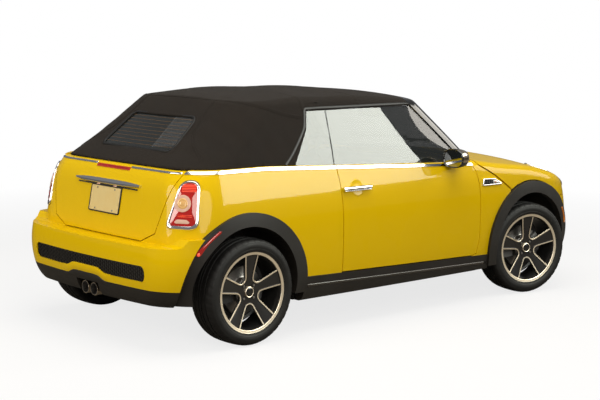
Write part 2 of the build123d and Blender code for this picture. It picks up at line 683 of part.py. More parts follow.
# ---- suspension, engine and what hangs under the floor ------------------------------------------
subframe_top = 262.0
arm_bore = 10.3
subframe = block(1100, 1290, -400, 400, 205, subframe_top)
legs = both(block(1100, 1160, 392, 424, 205, 330))
for side in (1, -1):
    ball = kingpin(side).position
    arm = block(1165, 1225, *sorted((side * 395, ball.Y)), 144, 170) + on_kingpin(side, 140, 172, 20)
    subframe = subframe + (arm - on_kingpin(side, 100, 260, arm_bore))
subframe = subframe + both(block(1165, 1225, 380, 400, 144, 210)) + legs
save("frame_members", rails + front_beam + rear_panel + subframe)
mounts = []
for side in (1, -1):
    cup = on_kingpin(side, 646, 780, 46) & arch(front_axle_x, front_housing_radius - 0.01)
    mounts.append(cup - on_kingpin(side, 600, 672, 9.3))

beam_z, beam_radius = 262.0, 32.0
rear_axle = rod((rear_axle_x, -620, beam_z), (rear_axle_x, 620, beam_z), beam_radius)
rear_axle = rear_axle + both(block(rear_axle_x, riser_x - 12, 500, 545, 240, 284))
for side in (1, -1):
    body, caliper = make_carrier(side)
    rear = Location((rear_axle_x, side * rear_track / 2, axle_z))
    rear_axle = rear_axle + body.moved(rear) + caliper.moved(rear)
    rear_axle = rear_axle + block(rear_axle_x - 45, rear_axle_x + 45,
                                  *sorted((side * 580, side * (rear_track / 2 + carrier_face - 36))), 240, 340)
save("rear_axle", rear_axle)
spring_y = 380.0
spring = rod((rear_axle_x, spring_y, beam_z), (rear_axle_x, spring_y, boot_floor_z), 46)
save("spring_mounts", (both(spring) - rear_axle) + mounts[0] + mounts[1])
tank = block(-1130, riser_x - 12.5, -330, 330, 232, boot_floor_z)
save("fuel_tank", fillet(tank.edges().filter_by(Axis.Y), 30))
engine_rear, engine_front, engine_half, engine_top = 1010.0, 1480.0, 330.0, 800.0
engine = block(engine_rear, engine_front, -engine_half, engine_half, subframe_top, engine_top)
save("engine_block", engine)

silencer_z, silencer_x, silencer_radius = 262.0, -1600.0, 66.0
tip_y, tip_z, tip_radius, tip_x = 45.0, 281.0, 36.0, -1821.0
pipe_z, pipe_radius = 158.0, 22.0
exhaust = cross_cylinder(silencer_x, silencer_z, silencer_radius, -290, 290)
tips = rod((silencer_x, tip_y, tip_z), (tip_x, tip_y, tip_z), tip_radius)
tips = tips - rod((tip_x + 60, tip_y, tip_z), (tip_x - 1, tip_y, tip_z), tip_radius - 3)
exhaust = exhaust + both(tips)
exhaust = exhaust + rod((silencer_x, 0, 215), (-1440, 0, pipe_z), pipe_radius)
exhaust = exhaust + rod((-1440, 0, pipe_z), (1000, 0, pipe_z), pipe_radius)
exhaust = exhaust + rod((1000, 0, pipe_z), (1080, 0, subframe_top + 60), pipe_radius)
for hanger_y in (-210, 210):
    exhaust = exhaust + rod((silencer_x, hanger_y, silencer_z), (silencer_x, hanger_y, boot_floor_z), 8)
save("exhaust", exhaust - engine)

# ---- cabin --------------------------------------------------------------------------------------
dash_outline = [(firewall_x, 600), (firewall_x, 900), (620, 905), (480, 905), (425, 870), (405, 800),
                (440, 720), (600, 640)]
wheel_centre = Vector(245, 360, 872)
column_tilt = 22.0
column_dir = Vector(math.cos(math.radians(column_tilt)), 0, -math.sin(math.radians(column_tilt)))
column_end = wheel_centre + column_dir * 230
dash = side_prism(dash_outline, -648, 648) - rod(wheel_centre, wheel_centre + column_dir * 240, 22.3)
save("dashboard", dash)
wheel_plane = Plane(origin=wheel_centre, z_dir=column_dir)
rim_ring = wheel_plane * Torus(178, 15)
wheel_spoke = Pos(88, 0, 0) * Box(170, 34, 14)
wheel_spokes = [wheel_plane * (Rot(0, 0, angle) * wheel_spoke) for angle in (0, 90, 180)]
steering = rim_ring + wheel_plane * Cylinder(52, 34) + rod(wheel_centre, column_end, 22)
for spoke in wheel_spokes:
    steering = steering + spoke
save("steering_wheel", steering)
console = block(-300, 400, -95, 95, floor_bottom + floor_thickness, 560)
save("console", fillet(console.edges().filter_by(Axis.X), 30))

seat_y, seat_half, seat_base_z = 365.0, 240.0, 330.0
seat_floor = floor_bottom + floor_thickness
runner_half, bracket_half, post_offset, post_radius = 200.0, 70.0, 60.0, 6.0
runner = block(-330, 130, seat_y - runner_half, seat_y + runner_half, seat_floor, seat_base_z)
bracket = block(-392, -362, seat_y - bracket_half, seat_y + bracket_half, seat_floor, 540)
foot = block(-392, -329, seat_y - bracket_half, seat_y + bracket_half, seat_floor, seat_floor + 40)
runners = both(runner + foot + bracket)
save("floor", tub + sills + riser + boot_floor + firewall + runners)
cushion = Pos(-90, seat_y, seat_base_z + 70) * fillet(Box(510, 490, 140).edges(), 45)
back = Pos(-440, seat_y, 752) * (Rot(0, -20, 0) * fillet(Box(130, 2 * seat_half, 580).edges(), 50))
head = Pos(-565, seat_y, 1090) * (Rot(0, -20, 0) * fillet(Box(90, 250, 150).edges(), 38))
posts = [rod((-490, y, 900), (-565, y, 1090), post_radius) for y in (seat_y - post_offset, seat_y + post_offset)]
rear_cushion = Pos(-878, 0, boot_floor_z + 74.3) * fillet(Box(440, 840, 120).edges(), 40)
rear_back = Pos(-1224, 0, 680.3) * (Rot(0, -15, 0) * fillet(Box(110, 860, 540).edges(), 40))
save("seat_cushions", both(cushion - bracket) + rear_cushion)
save("seat_backs", both(back + head + posts[0] + posts[1] - bracket) + rear_back)
deck = plan_core & block(-1589, -1470, -far, far, 962, belt_rear_height)
save("rear_deck", deck)
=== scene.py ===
import math

import bpy
import bmesh
import numpy as np
from mathutils import Matrix, Vector
from mathutils.bvhtree import BVHTree


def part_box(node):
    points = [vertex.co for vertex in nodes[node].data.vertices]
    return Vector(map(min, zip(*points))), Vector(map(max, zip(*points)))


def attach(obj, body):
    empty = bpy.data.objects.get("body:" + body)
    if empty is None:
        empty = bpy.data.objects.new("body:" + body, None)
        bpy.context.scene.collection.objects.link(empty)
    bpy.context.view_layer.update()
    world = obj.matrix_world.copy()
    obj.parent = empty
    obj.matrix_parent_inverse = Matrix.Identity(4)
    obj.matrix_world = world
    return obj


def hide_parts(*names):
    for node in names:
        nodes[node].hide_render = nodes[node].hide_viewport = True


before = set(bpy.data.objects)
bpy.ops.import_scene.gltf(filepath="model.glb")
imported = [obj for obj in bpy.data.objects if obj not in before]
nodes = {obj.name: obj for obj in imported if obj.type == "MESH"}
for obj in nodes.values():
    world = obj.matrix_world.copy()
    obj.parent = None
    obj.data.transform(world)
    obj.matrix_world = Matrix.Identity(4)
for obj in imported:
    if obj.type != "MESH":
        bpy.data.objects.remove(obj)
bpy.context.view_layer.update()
print("frame loaded:", len(nodes), "nodes")


# node groups that several finishes share
def newGroup(name, inputs, outputs):
    group = bpy.data.node_groups.new(name, "ShaderNodeTree")
    for label, kind, value in inputs:
        socket = group.interface.new_socket(label, in_out="INPUT", socket_type=kind)
        if value is not None:
            socket.default_value = value
    for label, kind in outputs:
        group.interface.new_socket(label, in_out="OUTPUT", socket_type=kind)
    entry = group.nodes.new("NodeGroupInput")
    leave = group.nodes.new("NodeGroupOutput")
    return group, entry, leave


def buildSurfaceNoise():
    # fine grain for bump, and a slow drift that varies roughness
    group, entry, leave = newGroup("surfaceNoise", [
        ("Scale", "NodeSocketFloat", 300.0), ("Drift Scale", "NodeSocketFloat", 3.0),
        ("Rough Low", "NodeSocketFloat", 0.2), ("Rough High", "NodeSocketFloat", 0.3)],
        [("Height", "NodeSocketFloat"), ("Roughness", "NodeSocketFloat"), ("Drift", "NodeSocketFloat")])
    place = group.nodes.new("ShaderNodeTexCoord")
    grain = group.nodes.new("ShaderNodeTexNoise")
    drift = group.nodes.new("ShaderNodeTexNoise")
    spread = group.nodes.new("ShaderNodeMapRange")
    grain.inputs["Detail"].default_value = 3
    drift.inputs["Detail"].default_value = 4
    link = group.links.new
    link(place.outputs["Object"], grain.inputs["Vector"])
    link(place.outputs["Object"], drift.inputs["Vector"])
    link(entry.outputs["Scale"], grain.inputs["Scale"])
    link(entry.outputs["Drift Scale"], drift.inputs["Scale"])
    link(drift.outputs["Fac"], spread.inputs["Value"])
    spread.inputs["From Min"].default_value = 0.3
    spread.inputs["From Max"].default_value = 0.7
    link(entry.outputs["Rough Low"], spread.inputs["To Min"])
    link(entry.outputs["Rough High"], spread.inputs["To Max"])
    link(grain.outputs["Fac"], leave.inputs["Height"])
    link(spread.outputs["Result"], leave.inputs["Roughness"])
    link(drift.outputs["Fac"], leave.inputs["Drift"])
    return group


def buildWeave():
    # crossing threads, as two sets of waves in the object's own space
    group, entry, leave = newGroup("clothWeave", [("Scale", "NodeSocketFloat", 400.0)],
                                   [("Height", "NodeSocketFloat")])
    place = group.nodes.new("ShaderNodeTexCoord")
    link = group.links.new
    waves = []
    for axis in ("X", "Y", "Z"):
        wave = group.nodes.new("ShaderNodeTexWave")
        wave.bands_direction = axis
        wave.inputs["Distortion"].default_value = 0.6
        link(place.outputs["Object"], wave.inputs["Vector"])
        link(entry.outputs["Scale"], wave.inputs["Scale"])
        waves.append(wave)
    first = group.nodes.new("ShaderNodeMath")
    first.operation = "ADD"
    second = group.nodes.new("ShaderNodeMath")
    second.operation = "ADD"
    link(waves[0].outputs["Fac"], first.inputs[0])
    link(waves[1].outputs["Fac"], first.inputs[1])
    link(first.outputs[0], second.inputs[0])
    link(waves[2].outputs["Fac"], second.inputs[1])
    link(second.outputs[0], leave.inputs["Height"])
    return group


surfaceNoise = buildSurfaceNoise()
clothWeave = buildWeave()
finishes = {}


def makeFinish(name, look):
    # look: colour, second colour for the drift, roughness range, grain scale and bump, and shader numbers
    material = bpy.data.materials.new(name)
    material.use_nodes = True
    tree = material.node_tree
    shader = tree.nodes["Principled BSDF"]
    link = tree.links.new
    noise = tree.nodes.new("ShaderNodeGroup")
    noise.node_tree = surfaceNoise
    noise.inputs["Scale"].default_value = look.get("grain", 300)
    noise.inputs["Drift Scale"].default_value = look.get("drift", 3)
    low, high = look["rough"]
    noise.inputs["Rough Low"].default_value = low
    noise.inputs["Rough High"].default_value = high
    link(noise.outputs["Roughness"], shader.inputs["Roughness"])
    blend = tree.nodes.new("ShaderNodeMix")
    blend.data_type = "RGBA"
    blend.inputs["A"].default_value = (*look["colour"], 1)
    blend.inputs["B"].default_value = (*look.get("second", look["colour"]), 1)
    link(noise.outputs["Drift"], blend.inputs["Factor"])
    link(blend.outputs["Result"], shader.inputs["Base Color"])
    bump = tree.nodes.new("ShaderNodeBump")
    bump.inputs["Strength"].default_value = look.get("bump", 0.05)
    bump.inputs["Distance"].default_value = look.get("depth", 0.0004)
    height = noise.outputs["Height"]
    if "weave" in look:
        weave = tree.nodes.new("ShaderNodeGroup")
        weave.node_tree = clothWeave
        weave.inputs["Scale"].default_value = look["weave"]
        height = weave.outputs["Height"]
    link(height, bump.inputs["Height"])
    link(bump.outputs["Normal"], shader.inputs["Normal"])
    for socket, value in look.get("shader", {}).items():
        shader.inputs[socket].default_value = value
    finishes[name] = material
    return material


finishLooks = {
    "yellowPaint": {"colour": (0.83, 0.545, 0.001), "second": (0.80, 0.52, 0.001), "rough": (0.24, 0.32),
                    "grain": 160, "bump": 0.015,
                    "shader": {"Coat Weight": 0.40, "Coat Roughness": 0.04, "Specular IOR Level": 0.03}},
    "darkMetal": {"colour": (0.020, 0.020, 0.021), "second": (0.03, 0.03, 0.03), "rough": (0.45, 0.6),
                  "bump": 0.2, "shader": {"Metallic": 0.3}},
    "blackPlastic": {"colour": (0.012, 0.010, 0.008), "second": (0.019, 0.016, 0.013),
                     "rough": (0.44, 0.54),
                     "grain": 900, "bump": 0.35, "drift": 5, "shader": {"Specular IOR Level": 0.4}},
    "pianoBlack": {"colour": (0.006, 0.006, 0.006), "second": (0.009, 0.009, 0.009),
                   "rough": (0.1, 0.16),
                   "bump": 0.01, "shader": {"Coat Weight": 0.8, "Coat Roughness": 0.05}},
    "brightTrim": {"colour": (0.82, 0.82, 0.83), "second": (0.78, 0.78, 0.79), "rough": (0.06, 0.14),
                   "bump": 0.01, "shader": {"Metallic": 1.0}},
    "darkAlloy": {"colour": (0.028, 0.027, 0.027), "second": (0.04, 0.038, 0.036), "rough": (0.26, 0.36),
                  "bump": 0.04, "shader": {"Metallic": 0.5, "Coat Weight": 0.4, "Coat Roughness": 0.1}},
    "machinedFace": {"colour": (1.0, 0.88, 0.70), "second": (0.95, 0.82, 0.64), "rough": (0.36, 0.46),
                     "grain": 900, "bump": 0.04, "shader": {"Metallic": 1.0}},
    "tyreRubber": {"colour": (0.005, 0.005, 0.005), "second": (0.010, 0.009, 0.008),
                   "rough": (0.50, 0.66),
                   "grain": 500, "bump": 0.3, "drift": 9, "shader": {"Specular IOR Level": 0.3}},
    "roofFabric": {"colour": (0.013, 0.010, 0.008), "second": (0.021, 0.016, 0.012),
                   "rough": (0.85, 0.95),
                   "weave": 420, "bump": 0.5, "drift": 6,
                   "shader": {"Sheen Weight": 0.04, "Sheen Roughness": 0.5, "Specular IOR Level": 0.12}},
    "seatCloth": {"colour": (0.022, 0.021, 0.021), "second": (0.034, 0.032, 0.031), "rough": (0.75, 0.9),
                  "weave": 520, "bump": 0.4, "drift": 12, "shader": {"Sheen Weight": 0.3}},
    "lampBowl": {"colour": (0.62, 0.62, 0.63), "second": (0.5, 0.5, 0.52), "rough": (0.12, 0.2),
                 "bump": 0.02, "shader": {"Metallic": 0.9}},
    "redLens": {"colour": (0.42, 0.004, 0.002), "second": (0.55, 0.012, 0.004),
                "rough": (0.06, 0.1), "bump": 0.02,
                "shader": {"Coat Weight": 1.0, "Coat Roughness": 0.03, "Subsurface Weight": 0.1,
                           "Subsurface Radius": (0.01, 0.002, 0.002)}},
    "amberLens": {"colour": (0.75, 0.20, 0.01), "second": (0.8, 0.24, 0.015),
                  "rough": (0.06, 0.1), "bump": 0.02,
                  "shader": {"Coat Weight": 1.0, "Coat Roughness": 0.03}},
    "clearGlassy": {"colour": (0.72, 0.72, 0.70), "second": (0.60, 0.60, 0.58),
                    "rough": (0.05, 0.10), "bump": 0.1,
                    "grain": 500, "shader": {"Coat Weight": 1.0, "Coat Roughness": 0.03,
                                             "Metallic": 0.3}},
    "mirrorGlass": {"colour": (0.42, 0.44, 0.46), "second": (0.36, 0.38, 0.40), "rough": (0.02, 0.04),
                    "bump": 0.005,
                    "shader": {"Metallic": 1.0}},
    "sealRubber": {"colour": (0.010, 0.010, 0.010), "second": (0.016, 0.016, 0.016), "rough": (0.4, 0.5),
                   "grain": 700, "bump": 0.15, "shader": {"Specular IOR Level": 0.3}},
    "satinStrip": {"colour": (0.050, 0.045, 0.040), "second": (0.065, 0.058, 0.050),
                   "rough": (0.22, 0.30),
                   "bump": 0.03, "shader": {"Metallic": 0.4, "Coat Weight": 0.5}},
    "warmLine": {"colour": (0.20, 0.10, 0.03), "second": (0.24, 0.12, 0.04), "rough": (0.4, 0.5),
                 "bump": 0.05},
    "yellowPiping": {"colour": (0.62, 0.40, 0.02), "second": (0.56, 0.36, 0.02), "rough": (0.5, 0.65),
                     "weave": 900, "bump": 0.2},
    "clearLens": {"colour": (0.86, 0.62, 0.48), "second": (0.78, 0.40, 0.28),
                  "rough": (0.06, 0.12), "bump": 0.1,
                  "grain": 500, "shader": {"Coat Weight": 1.0, "Coat Roughness": 0.03}},
    "amberGlow": {"colour": (0.80, 0.42, 0.12), "second": (0.88, 0.55, 0.22),
                  "rough": (0.08, 0.14), "bump": 0.1,
                  "grain": 600, "shader": {"Coat Weight": 1.0}},
    # red with a little emission: a painted glint for the tail lamps' prisms and the rear markers'
    # reflectors, which are not lit
    "redPaintedGlint": {"colour": (0.95, 0.10, 0.05), "second": (1.0, 0.2, 0.12),
                "rough": (0.08, 0.12), "bump": 0.02,
                "shader": {"Coat Weight": 1.0, "Emission Color": (1.0, 0.08, 0.03, 1),
                           "Emission Strength": 0.5}},
    "warmChrome": {"colour": (0.80, 0.68, 0.50), "second": (0.72, 0.58, 0.42), "rough": (0.08, 0.16),
                   "bump": 0.02, "shader": {"Metallic": 1.0}},
    "blankPlate": {"colour": (0.84, 0.68, 0.32), "second": (0.78, 0.56, 0.20),
                   "rough": (0.3, 0.4), "bump": 0.03,
                   "drift": 14},
    "castMetal": {"colour": (0.10, 0.10, 0.105), "second": (0.15, 0.145, 0.14), "rough": (0.5, 0.65),
                  "bump": 0.5, "shader": {"Metallic": 0.8}},
    "dullSteel": {"colour": (0.36, 0.35, 0.34), "second": (0.26, 0.24, 0.22), "rough": (0.3, 0.45),
                  "bump": 0.15, "shader": {"Metallic": 1.0}},
}
for finishName, finishLook in finishLooks.items():
    makeFinish(finishName, finishLook)


def makeGlass(name, tint, alpha):
    # clear over a tint, so that the cabin shows through a light reflection
    material = bpy.data.materials.new(name)
    material.use_nodes = True
    tree = material.node_tree
    shader = tree.nodes["Principled BSDF"]
    noise = tree.nodes.new("ShaderNodeGroup")
    noise.node_tree = surfaceNoise
    noise.inputs["Scale"].default_value = 40
    noise.inputs["Rough Low"].default_value = 0.0
    noise.inputs["Rough High"].default_value = 0.03
    tree.links.new(noise.outputs["Roughness"], shader.inputs["Roughness"])
    shader.inputs["Base Color"].default_value = (*tint, 1)
    shader.inputs["Alpha"].default_value = alpha
    shader.inputs["Coat Weight"].default_value = 1
    shader.inputs["Coat Roughness"].default_value = 0.01
    finishes[name] = material
    return material


makeGlass("cabinGlass", (0.012, 0.015, 0.013), 0.60)
makeGlass("lampGlass", (0.6, 0.62, 0.64), 0.22)

nodeFinish = {
    "yellowPaint": ["quarter_panels", "front_wings", "front_bumper", "rear_bumper", "bonnet", "lid",
                    "door_left", "door_right"],
    "redLens": ["tail_lamps", "rear_markers", "lid_brake_lamp"],
    "amberLens": ["front_markers"],
    "lampGlass": ["headlamp_lenses", "fog_lamps"],
    "lampBowl": ["headlamp_bowls"],
    "blackPlastic": ["cowl", "rear_valance", "arch_trims", "sill_trims", "wheel_housings", "fuel_tank",
                     "dashboard", "console", "steering_wheel"],
    "pianoBlack": ["grilles", "door_mirror_left", "door_mirror_right", "windscreen_frame"],
    "blankPlate": ["number_plate"],
    "brightTrim": ["lid_handle", "belt_trim", "door_trim_left", "door_trim_right", "side_scuttles"],
    "darkMetal": ["floor", "frame_members", "hinge_pads", "rear_axle", "spring_mounts", "rear_deck"],
    "cabinGlass": ["fixed_windows", "door_glass_left", "door_glass_right"],
    "roofFabric": ["fabric_top"],
    "castMetal": ["engine_block", "knuckle_left", "knuckle_right"],
    "dullSteel": ["exhaust"],
    "seatCloth": ["seat_cushions", "seat_backs"],
}
for place in ("front_left", "front_right", "rear_left", "rear_right"):
    nodeFinish["pianoBlack"].append("rim_" + place)
    nodeFinish.setdefault("tyreRubber", []).append("tyre_" + place)
for finishName, names in nodeFinish.items():
    for nodeName in names:
        for slot in nodes[nodeName].material_slots:
            slot.material = finishes[finishName]
print("finishes set on the CAD nodes")

# camera, light and floor
cameraSet = {"place": (-6.308, -6.929, 1.893), "yaw": 0.8475, "pitch": -0.1324, "roll": 0.0073,
             "lens": 85.48}


def makeCamera(values):
    camera = bpy.data.objects.new("camera", bpy.data.cameras.new("camera"))
    camera.data.lens = values["lens"]
    camera.data.sensor_width = 36
    turn = Matrix.Rotation(values["yaw"] - math.pi / 2, 4, "Z")
    tip = Matrix.Rotation(math.pi / 2 + values["pitch"], 4, "X")
    lean = Matrix.Rotation(values["roll"], 4, "Z")
    camera.matrix_world = Matrix.Translation(values["place"]) @ turn @ tip @ lean
    bpy.context.scene.collection.objects.link(camera)
    bpy.context.scene.camera = camera


lampSet = {
    "overhead": {"place": (-0.5, -1.0, 5.2), "aim": (0, 0, 0), "size": 5.5, "power": 205},
    "side": {"place": (-3.5, -6.5, 3.2), "aim": (0, 0, 0.7), "size": 4.0, "power": 200},
    "rear": {"place": (-7.5, 1.5, 3.0), "aim": (0, 0, 0.6), "size": 3.5, "power": 200},
    "card": {"place": (2.02, -3.9, 3.35), "aim": (0, -0.6, 1.1), "size": 3.1, "power": 300,
             "glossOnly": True},
    "front": {"place": (6.0, -3.0, 3.5), "aim": (0.5, 0, 0.5), "size": 3.0, "power": 115},
}


def makeLamps():
    for name, values in lampSet.items():
        data = bpy.data.lights.new(name, "AREA")
        glossOnly = values.get("glossOnly", False)
        data.shape = "SQUARE" if glossOnly else "DISK"
        data.size = values["size"]
        data.energy = values["power"]
        data.color = (0.97, 1.0, 0.90) if glossOnly else (1.0, 0.95, 0.86)
        lamp = bpy.data.objects.new(name, data)
        lamp.visible_diffuse = not glossOnly
        lamp.location = values["place"]
        look = Vector(values["aim"]) - Vector(values["place"])
        lamp.rotation_euler = look.to_track_quat("-Z", "Y").to_euler()
        bpy.context.scene.collection.objects.link(lamp)


def makeWorld():
    world = bpy.data.worlds.new("studio")
    world.use_nodes = True
    bpy.context.scene.world = world
    tree = world.node_tree
    tree.nodes.clear()
    link = tree.links.new
    path = tree.nodes.new("ShaderNodeLightPath")
    dim = tree.nodes.new("ShaderNodeBackground")
    dim.inputs["Color"].default_value = (0.95, 0.97, 1.0, 1)
    dim.inputs["Strength"].default_value = 0.22
    bright = tree.nodes.new("ShaderNodeBackground")
    bright.inputs["Color"].default_value = (1, 1, 1, 1)
    bright.inputs["Strength"].default_value = 1.0
    mix = tree.nodes.new("ShaderNodeMixShader")
    out = tree.nodes.new("ShaderNodeOutputWorld")
    either = tree.nodes.new("ShaderNodeMath")
    either.operation = "MAXIMUM"
    link(path.outputs["Is Camera Ray"], either.inputs[0])
    link(path.outputs["Is Transmission Ray"], either.inputs[1])
    link(either.outputs[0], mix.inputs["Fac"])
    link(dim.outputs[0], mix.inputs[1])
    link(bright.outputs[0], mix.inputs[2])
    link(mix.outputs[0], out.inputs["Surface"])


floorSet = {"radius": 60.0, "fadeStart": 3.2, "fadeEnd": 6.5, "colour": (0.86, 0.86, 0.86),
            "underColour": (0.22, 0.20, 0.17)}


def makeFloor(values):
    mesh = bpy.data.meshes.new("floorSheet")
    shape = bmesh.new()
    bmesh.ops.create_circle(shape, cap_ends=True, segments=96, radius=values["radius"])
    shape.to_mesh(mesh)
    shape.free()
    sheet = bpy.data.objects.new("floorSheet", mesh)
    bpy.context.scene.collection.objects.link(sheet)
    material = bpy.data.materials.new("paleFloor")
    material.use_nodes = True
    tree = material.node_tree
    link = tree.links.new
    shader = tree.nodes["Principled BSDF"]
    shader.inputs["Base Color"].default_value = (*values["colour"], 1)
    shader.inputs["Roughness"].default_value = 0.7
    shader.inputs["Specular IOR Level"].default_value = 0.1
    place = tree.nodes.new("ShaderNodeTexCoord")
    away = tree.nodes.new("ShaderNodeVectorMath")
    away.operation = "LENGTH"
    fade = tree.nodes.new("ShaderNodeMapRange")
    fade.inputs["From Min"].default_value = values["fadeStart"]
    fade.inputs["From Max"].default_value = values["fadeEnd"]
    fade.inputs["To Min"].default_value = 0.78
    fade.inputs["To Max"].default_value = 1.0
    path = tree.nodes.new("ShaderNodeLightPath")
    share = tree.nodes.new("ShaderNodeMath")
    share.operation = "MULTIPLY"
    white = tree.nodes.new("ShaderNodeEmission")
    mix = tree.nodes.new("ShaderNodeMixShader")
    link(place.outputs["Object"], away.inputs[0])
    link(away.outputs["Value"], fade.inputs["Value"])
    link(fade.outputs["Result"], share.inputs[0])
    link(path.outputs["Is Camera Ray"], share.inputs[1])
    # the car sees a darker floor than the camera does, so that its lower body stays dark
    dark = tree.nodes.new("ShaderNodeBsdfDiffuse")
    dark.inputs["Color"].default_value = (*values["underColour"], 1)
    under = tree.nodes.new("ShaderNodeMixShader")
    link(path.outputs["Is Camera Ray"], under.inputs["Fac"])
    link(dark.outputs[0], under.inputs[1])
    link(shader.outputs[0], under.inputs[2])
    link(share.outputs[0], mix.inputs["Fac"])
    link(under.outputs[0], mix.inputs[1])
    link(white.outputs[0], mix.inputs[2])
    link(mix.outputs[0], tree.nodes["Material Output"].inputs["Surface"])
    mesh.materials.append(material)


makeCamera(cameraSet)
makeLamps()
makeWorld()
makeFloor(floorSet)
bpy.context.scene.view_settings.view_transform = "Standard"
print("camera, light and floor ready")

# mesh helpers
def newPiece(name, shape, materials, body, smooth=True):
    # makes an object from a bmesh, with its place in the mesh, riding on one body
    bmesh.ops.recalc_face_normals(shape, faces=shape.faces)
    mesh = bpy.data.meshes.new(name)
    shape.to_mesh(mesh)
    shape.free()
    for entry in materials:
        mesh.materials.append(finishes[entry])
    if smooth:
        mesh.shade_smooth()
    piece = bpy.data.objects.new(name, mesh)
    bpy.context.scene.collection.objects.link(piece)
    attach(piece, body)
    return piece


def sharpen(piece, angle=35):
    # keeps hard edges hard on a smooth-shaded piece
    piece.data.set_sharp_from_angle(angle=math.radians(angle))
    return piece


def bridgeRings(shape, rings, closedRing=True, closedPath=False, material=0, caps=True):
    # joins equal rings of vertices with quads
    count = len(rings)
    span = len(rings[0])
    around = span if closedRing else span - 1
    steps = count if closedPath else count - 1
    for step in range(steps):
        here, there = rings[step], rings[(step + 1) % count]
        for place in range(around):
            follow = (place + 1) % span
            face = shape.faces.new((here[place], here[follow], there[follow], there[place]))
            face.material_index = material
    if caps and closedRing and not closedPath:
        for ring in (rings[0], rings[-1]):
            face = shape.faces.new(ring)
            face.material_index = material


def sweepProfile(shape, points, normals, profile, closedPath=False, material=0, widths=None):
    # carries a closed section, given as (across, up) offsets, along a line of points with surface normals
    rings = []
    count = len(points)
    for step in range(count):
        before = points[step - 1] if closedPath or step else points[step]
        after = points[(step + 1) % count] if closedPath or step < count - 1 else points[step]
        along = (after - before).normalized()
        up = normals[step].normalized()
        across = along.cross(up).normalized()
        wide = widths[step] if widths else 1
        rings.append([shape.verts.new(points[step] + across * (side * wide) + up * rise)
                      for side, rise in profile])
    bridgeRings(shape, rings, True, closedPath, material)
    return rings


def roundSection(radius, sides=8, lift=0.0):
    return [(radius * math.cos(2 * math.pi * k / sides),
             lift + radius * math.sin(2 * math.pi * k / sides))
            for k in range(sides)]


def bandSection(half, rise, sink=0.002, soft=0.35):
    # a flat band with eased top edges, its foot below the surface
    inner = half * (1 - soft)
    return [(-half, -sink), (-half, rise * 0.45), (-inner, rise), (inner, rise), (half, rise * 0.45),
            (half, -sink)]


def resample(points, step, closed=False):
    # even points along a polyline
    line = list(points) + ([points[0]] if closed else [])
    lengths = [0.0]
    for k in range(1, len(line)):
        lengths.append(lengths[-1] + (line[k] - line[k - 1]).length)
    total = lengths[-1]
    count = max(2, int(round(total / step)))
    out = []
    place = 0
    for k in range(count if closed else count + 1):
        target = total * k / count
        while place < len(lengths) - 2 and lengths[place + 1] < target:
            place += 1
        span = lengths[place + 1] - lengths[place]
        share = (target - lengths[place]) / span if span else 0
        out.append(line[place].lerp(line[place + 1], share))
    return out


def roundedOutline(corners, radius, segments=8):
    # a closed 2-D outline through corners, each rounded with an arc-like curve
    out = []
    count = len(corners)
    radii = radius if isinstance(radius, (list, tuple)) else [radius] * count
    for k in range(count):
        here = Vector(corners[k])
        before = (Vector(corners[k - 1]) - here)
        after = (Vector(corners[(k + 1) % count]) - here)
        reach = min(radii[k], before.length * 0.49, after.length * 0.49)
        start = here + before.normalized() * reach
        end = here + after.normalized() * reach
        for step in range(segments + 1):
            t = step / segments
            out.append(start * (1 - t) ** 2 + here * 2 * t * (1 - t) + end * t ** 2)
    return out


def nodeTree(names):
    # a search tree over the faces of some CAD nodes
    corners, faces = [], []
    for name in names:
        mesh = nodes[name].data
        base = len(corners)
        corners.extend(vertex.co.copy() for vertex in mesh.vertices)
        faces.extend([base + k for k in polygon.vertices] for polygon in mesh.polygons)
    return BVHTree.FromPolygons(corners, faces)


def castLine(tree, points, direction, reach=1.0):
    # drops points on a surface along one direction, giving places and outward normals
    way = Vector(direction).normalized()
    places, normals = [], []
    for spot in points:
        hit, normal, index, distance = tree.ray_cast(spot - way * reach, way, reach * 2)
        if hit is None:
            continue
        places.append(hit)
        normals.append(normal if normal.dot(way) < 0 else -normal)
    return places, normals


class Skin:
    # a smooth patch fitted to a surface round one point, and to a second one that stands proud of it
    def __init__(self, tree, origin, right, up, half, skip=None, inner=None, proud=0.0, order=2):
        self.powers = [(i, j) for i in range(order + 1) for j in range(order + 1 - i)]
        self.scale = max(half)
        self.origin = Vector(origin)
        self.right, self.up = Vector(right).normalized(), Vector(up).normalized()
        self.out = self.right.cross(self.up)
        rows, values = [], []
        for i in range(-8, 9):
            for j in range(-8, 9):
                u, v = half[0] * i / 8, half[1] * j / 8
                start = self.origin + self.right * u + self.up * v + self.out * 0.25
                inside = skip and (u / skip[0]) ** 2 + (v / skip[1]) ** 2 < 1
                if inside and inner is None:
                    continue
                hit, normal, index, distance = (inner if inside else tree).ray_cast(start,
                                                                                    -self.out, 0.5)
                if hit is None:
                    continue
                rows.append(self.row(u, v))
                values.append(0.25 - distance - (proud if inside else 0))
        rows, values = np.array(rows), np.array(values)
        keep = np.ones(len(values), bool)
        for turn in range(3):
            self.terms = np.linalg.lstsq(rows[keep], values[keep], rcond=None)[0]
            left = np.abs(rows @ self.terms - values)
            keep = left < max(0.003, 2 * float(np.median(left)))

    def row(self, u, v):
        return [(u / self.scale) ** i * (v / self.scale) ** j for i, j in self.powers]

    def height(self, u, v):
        return float(np.dot(self.terms, self.row(u, v)))

    def normal(self, u, v):
        step = 0.0005
        slopeU = (self.height(u + step, v) - self.height(u - step, v)) / (2 * step)
        slopeV = (self.height(u, v + step) - self.height(u, v - step)) / (2 * step)
        return (self.out - self.right * float(slopeU) - self.up * float(slopeV)).normalized()

    def at(self, u, v, rise=0.0):
        flat = self.origin + self.right * u + self.up * v + self.out * self.height(u, v)
        return flat + self.normal(u, v) * rise


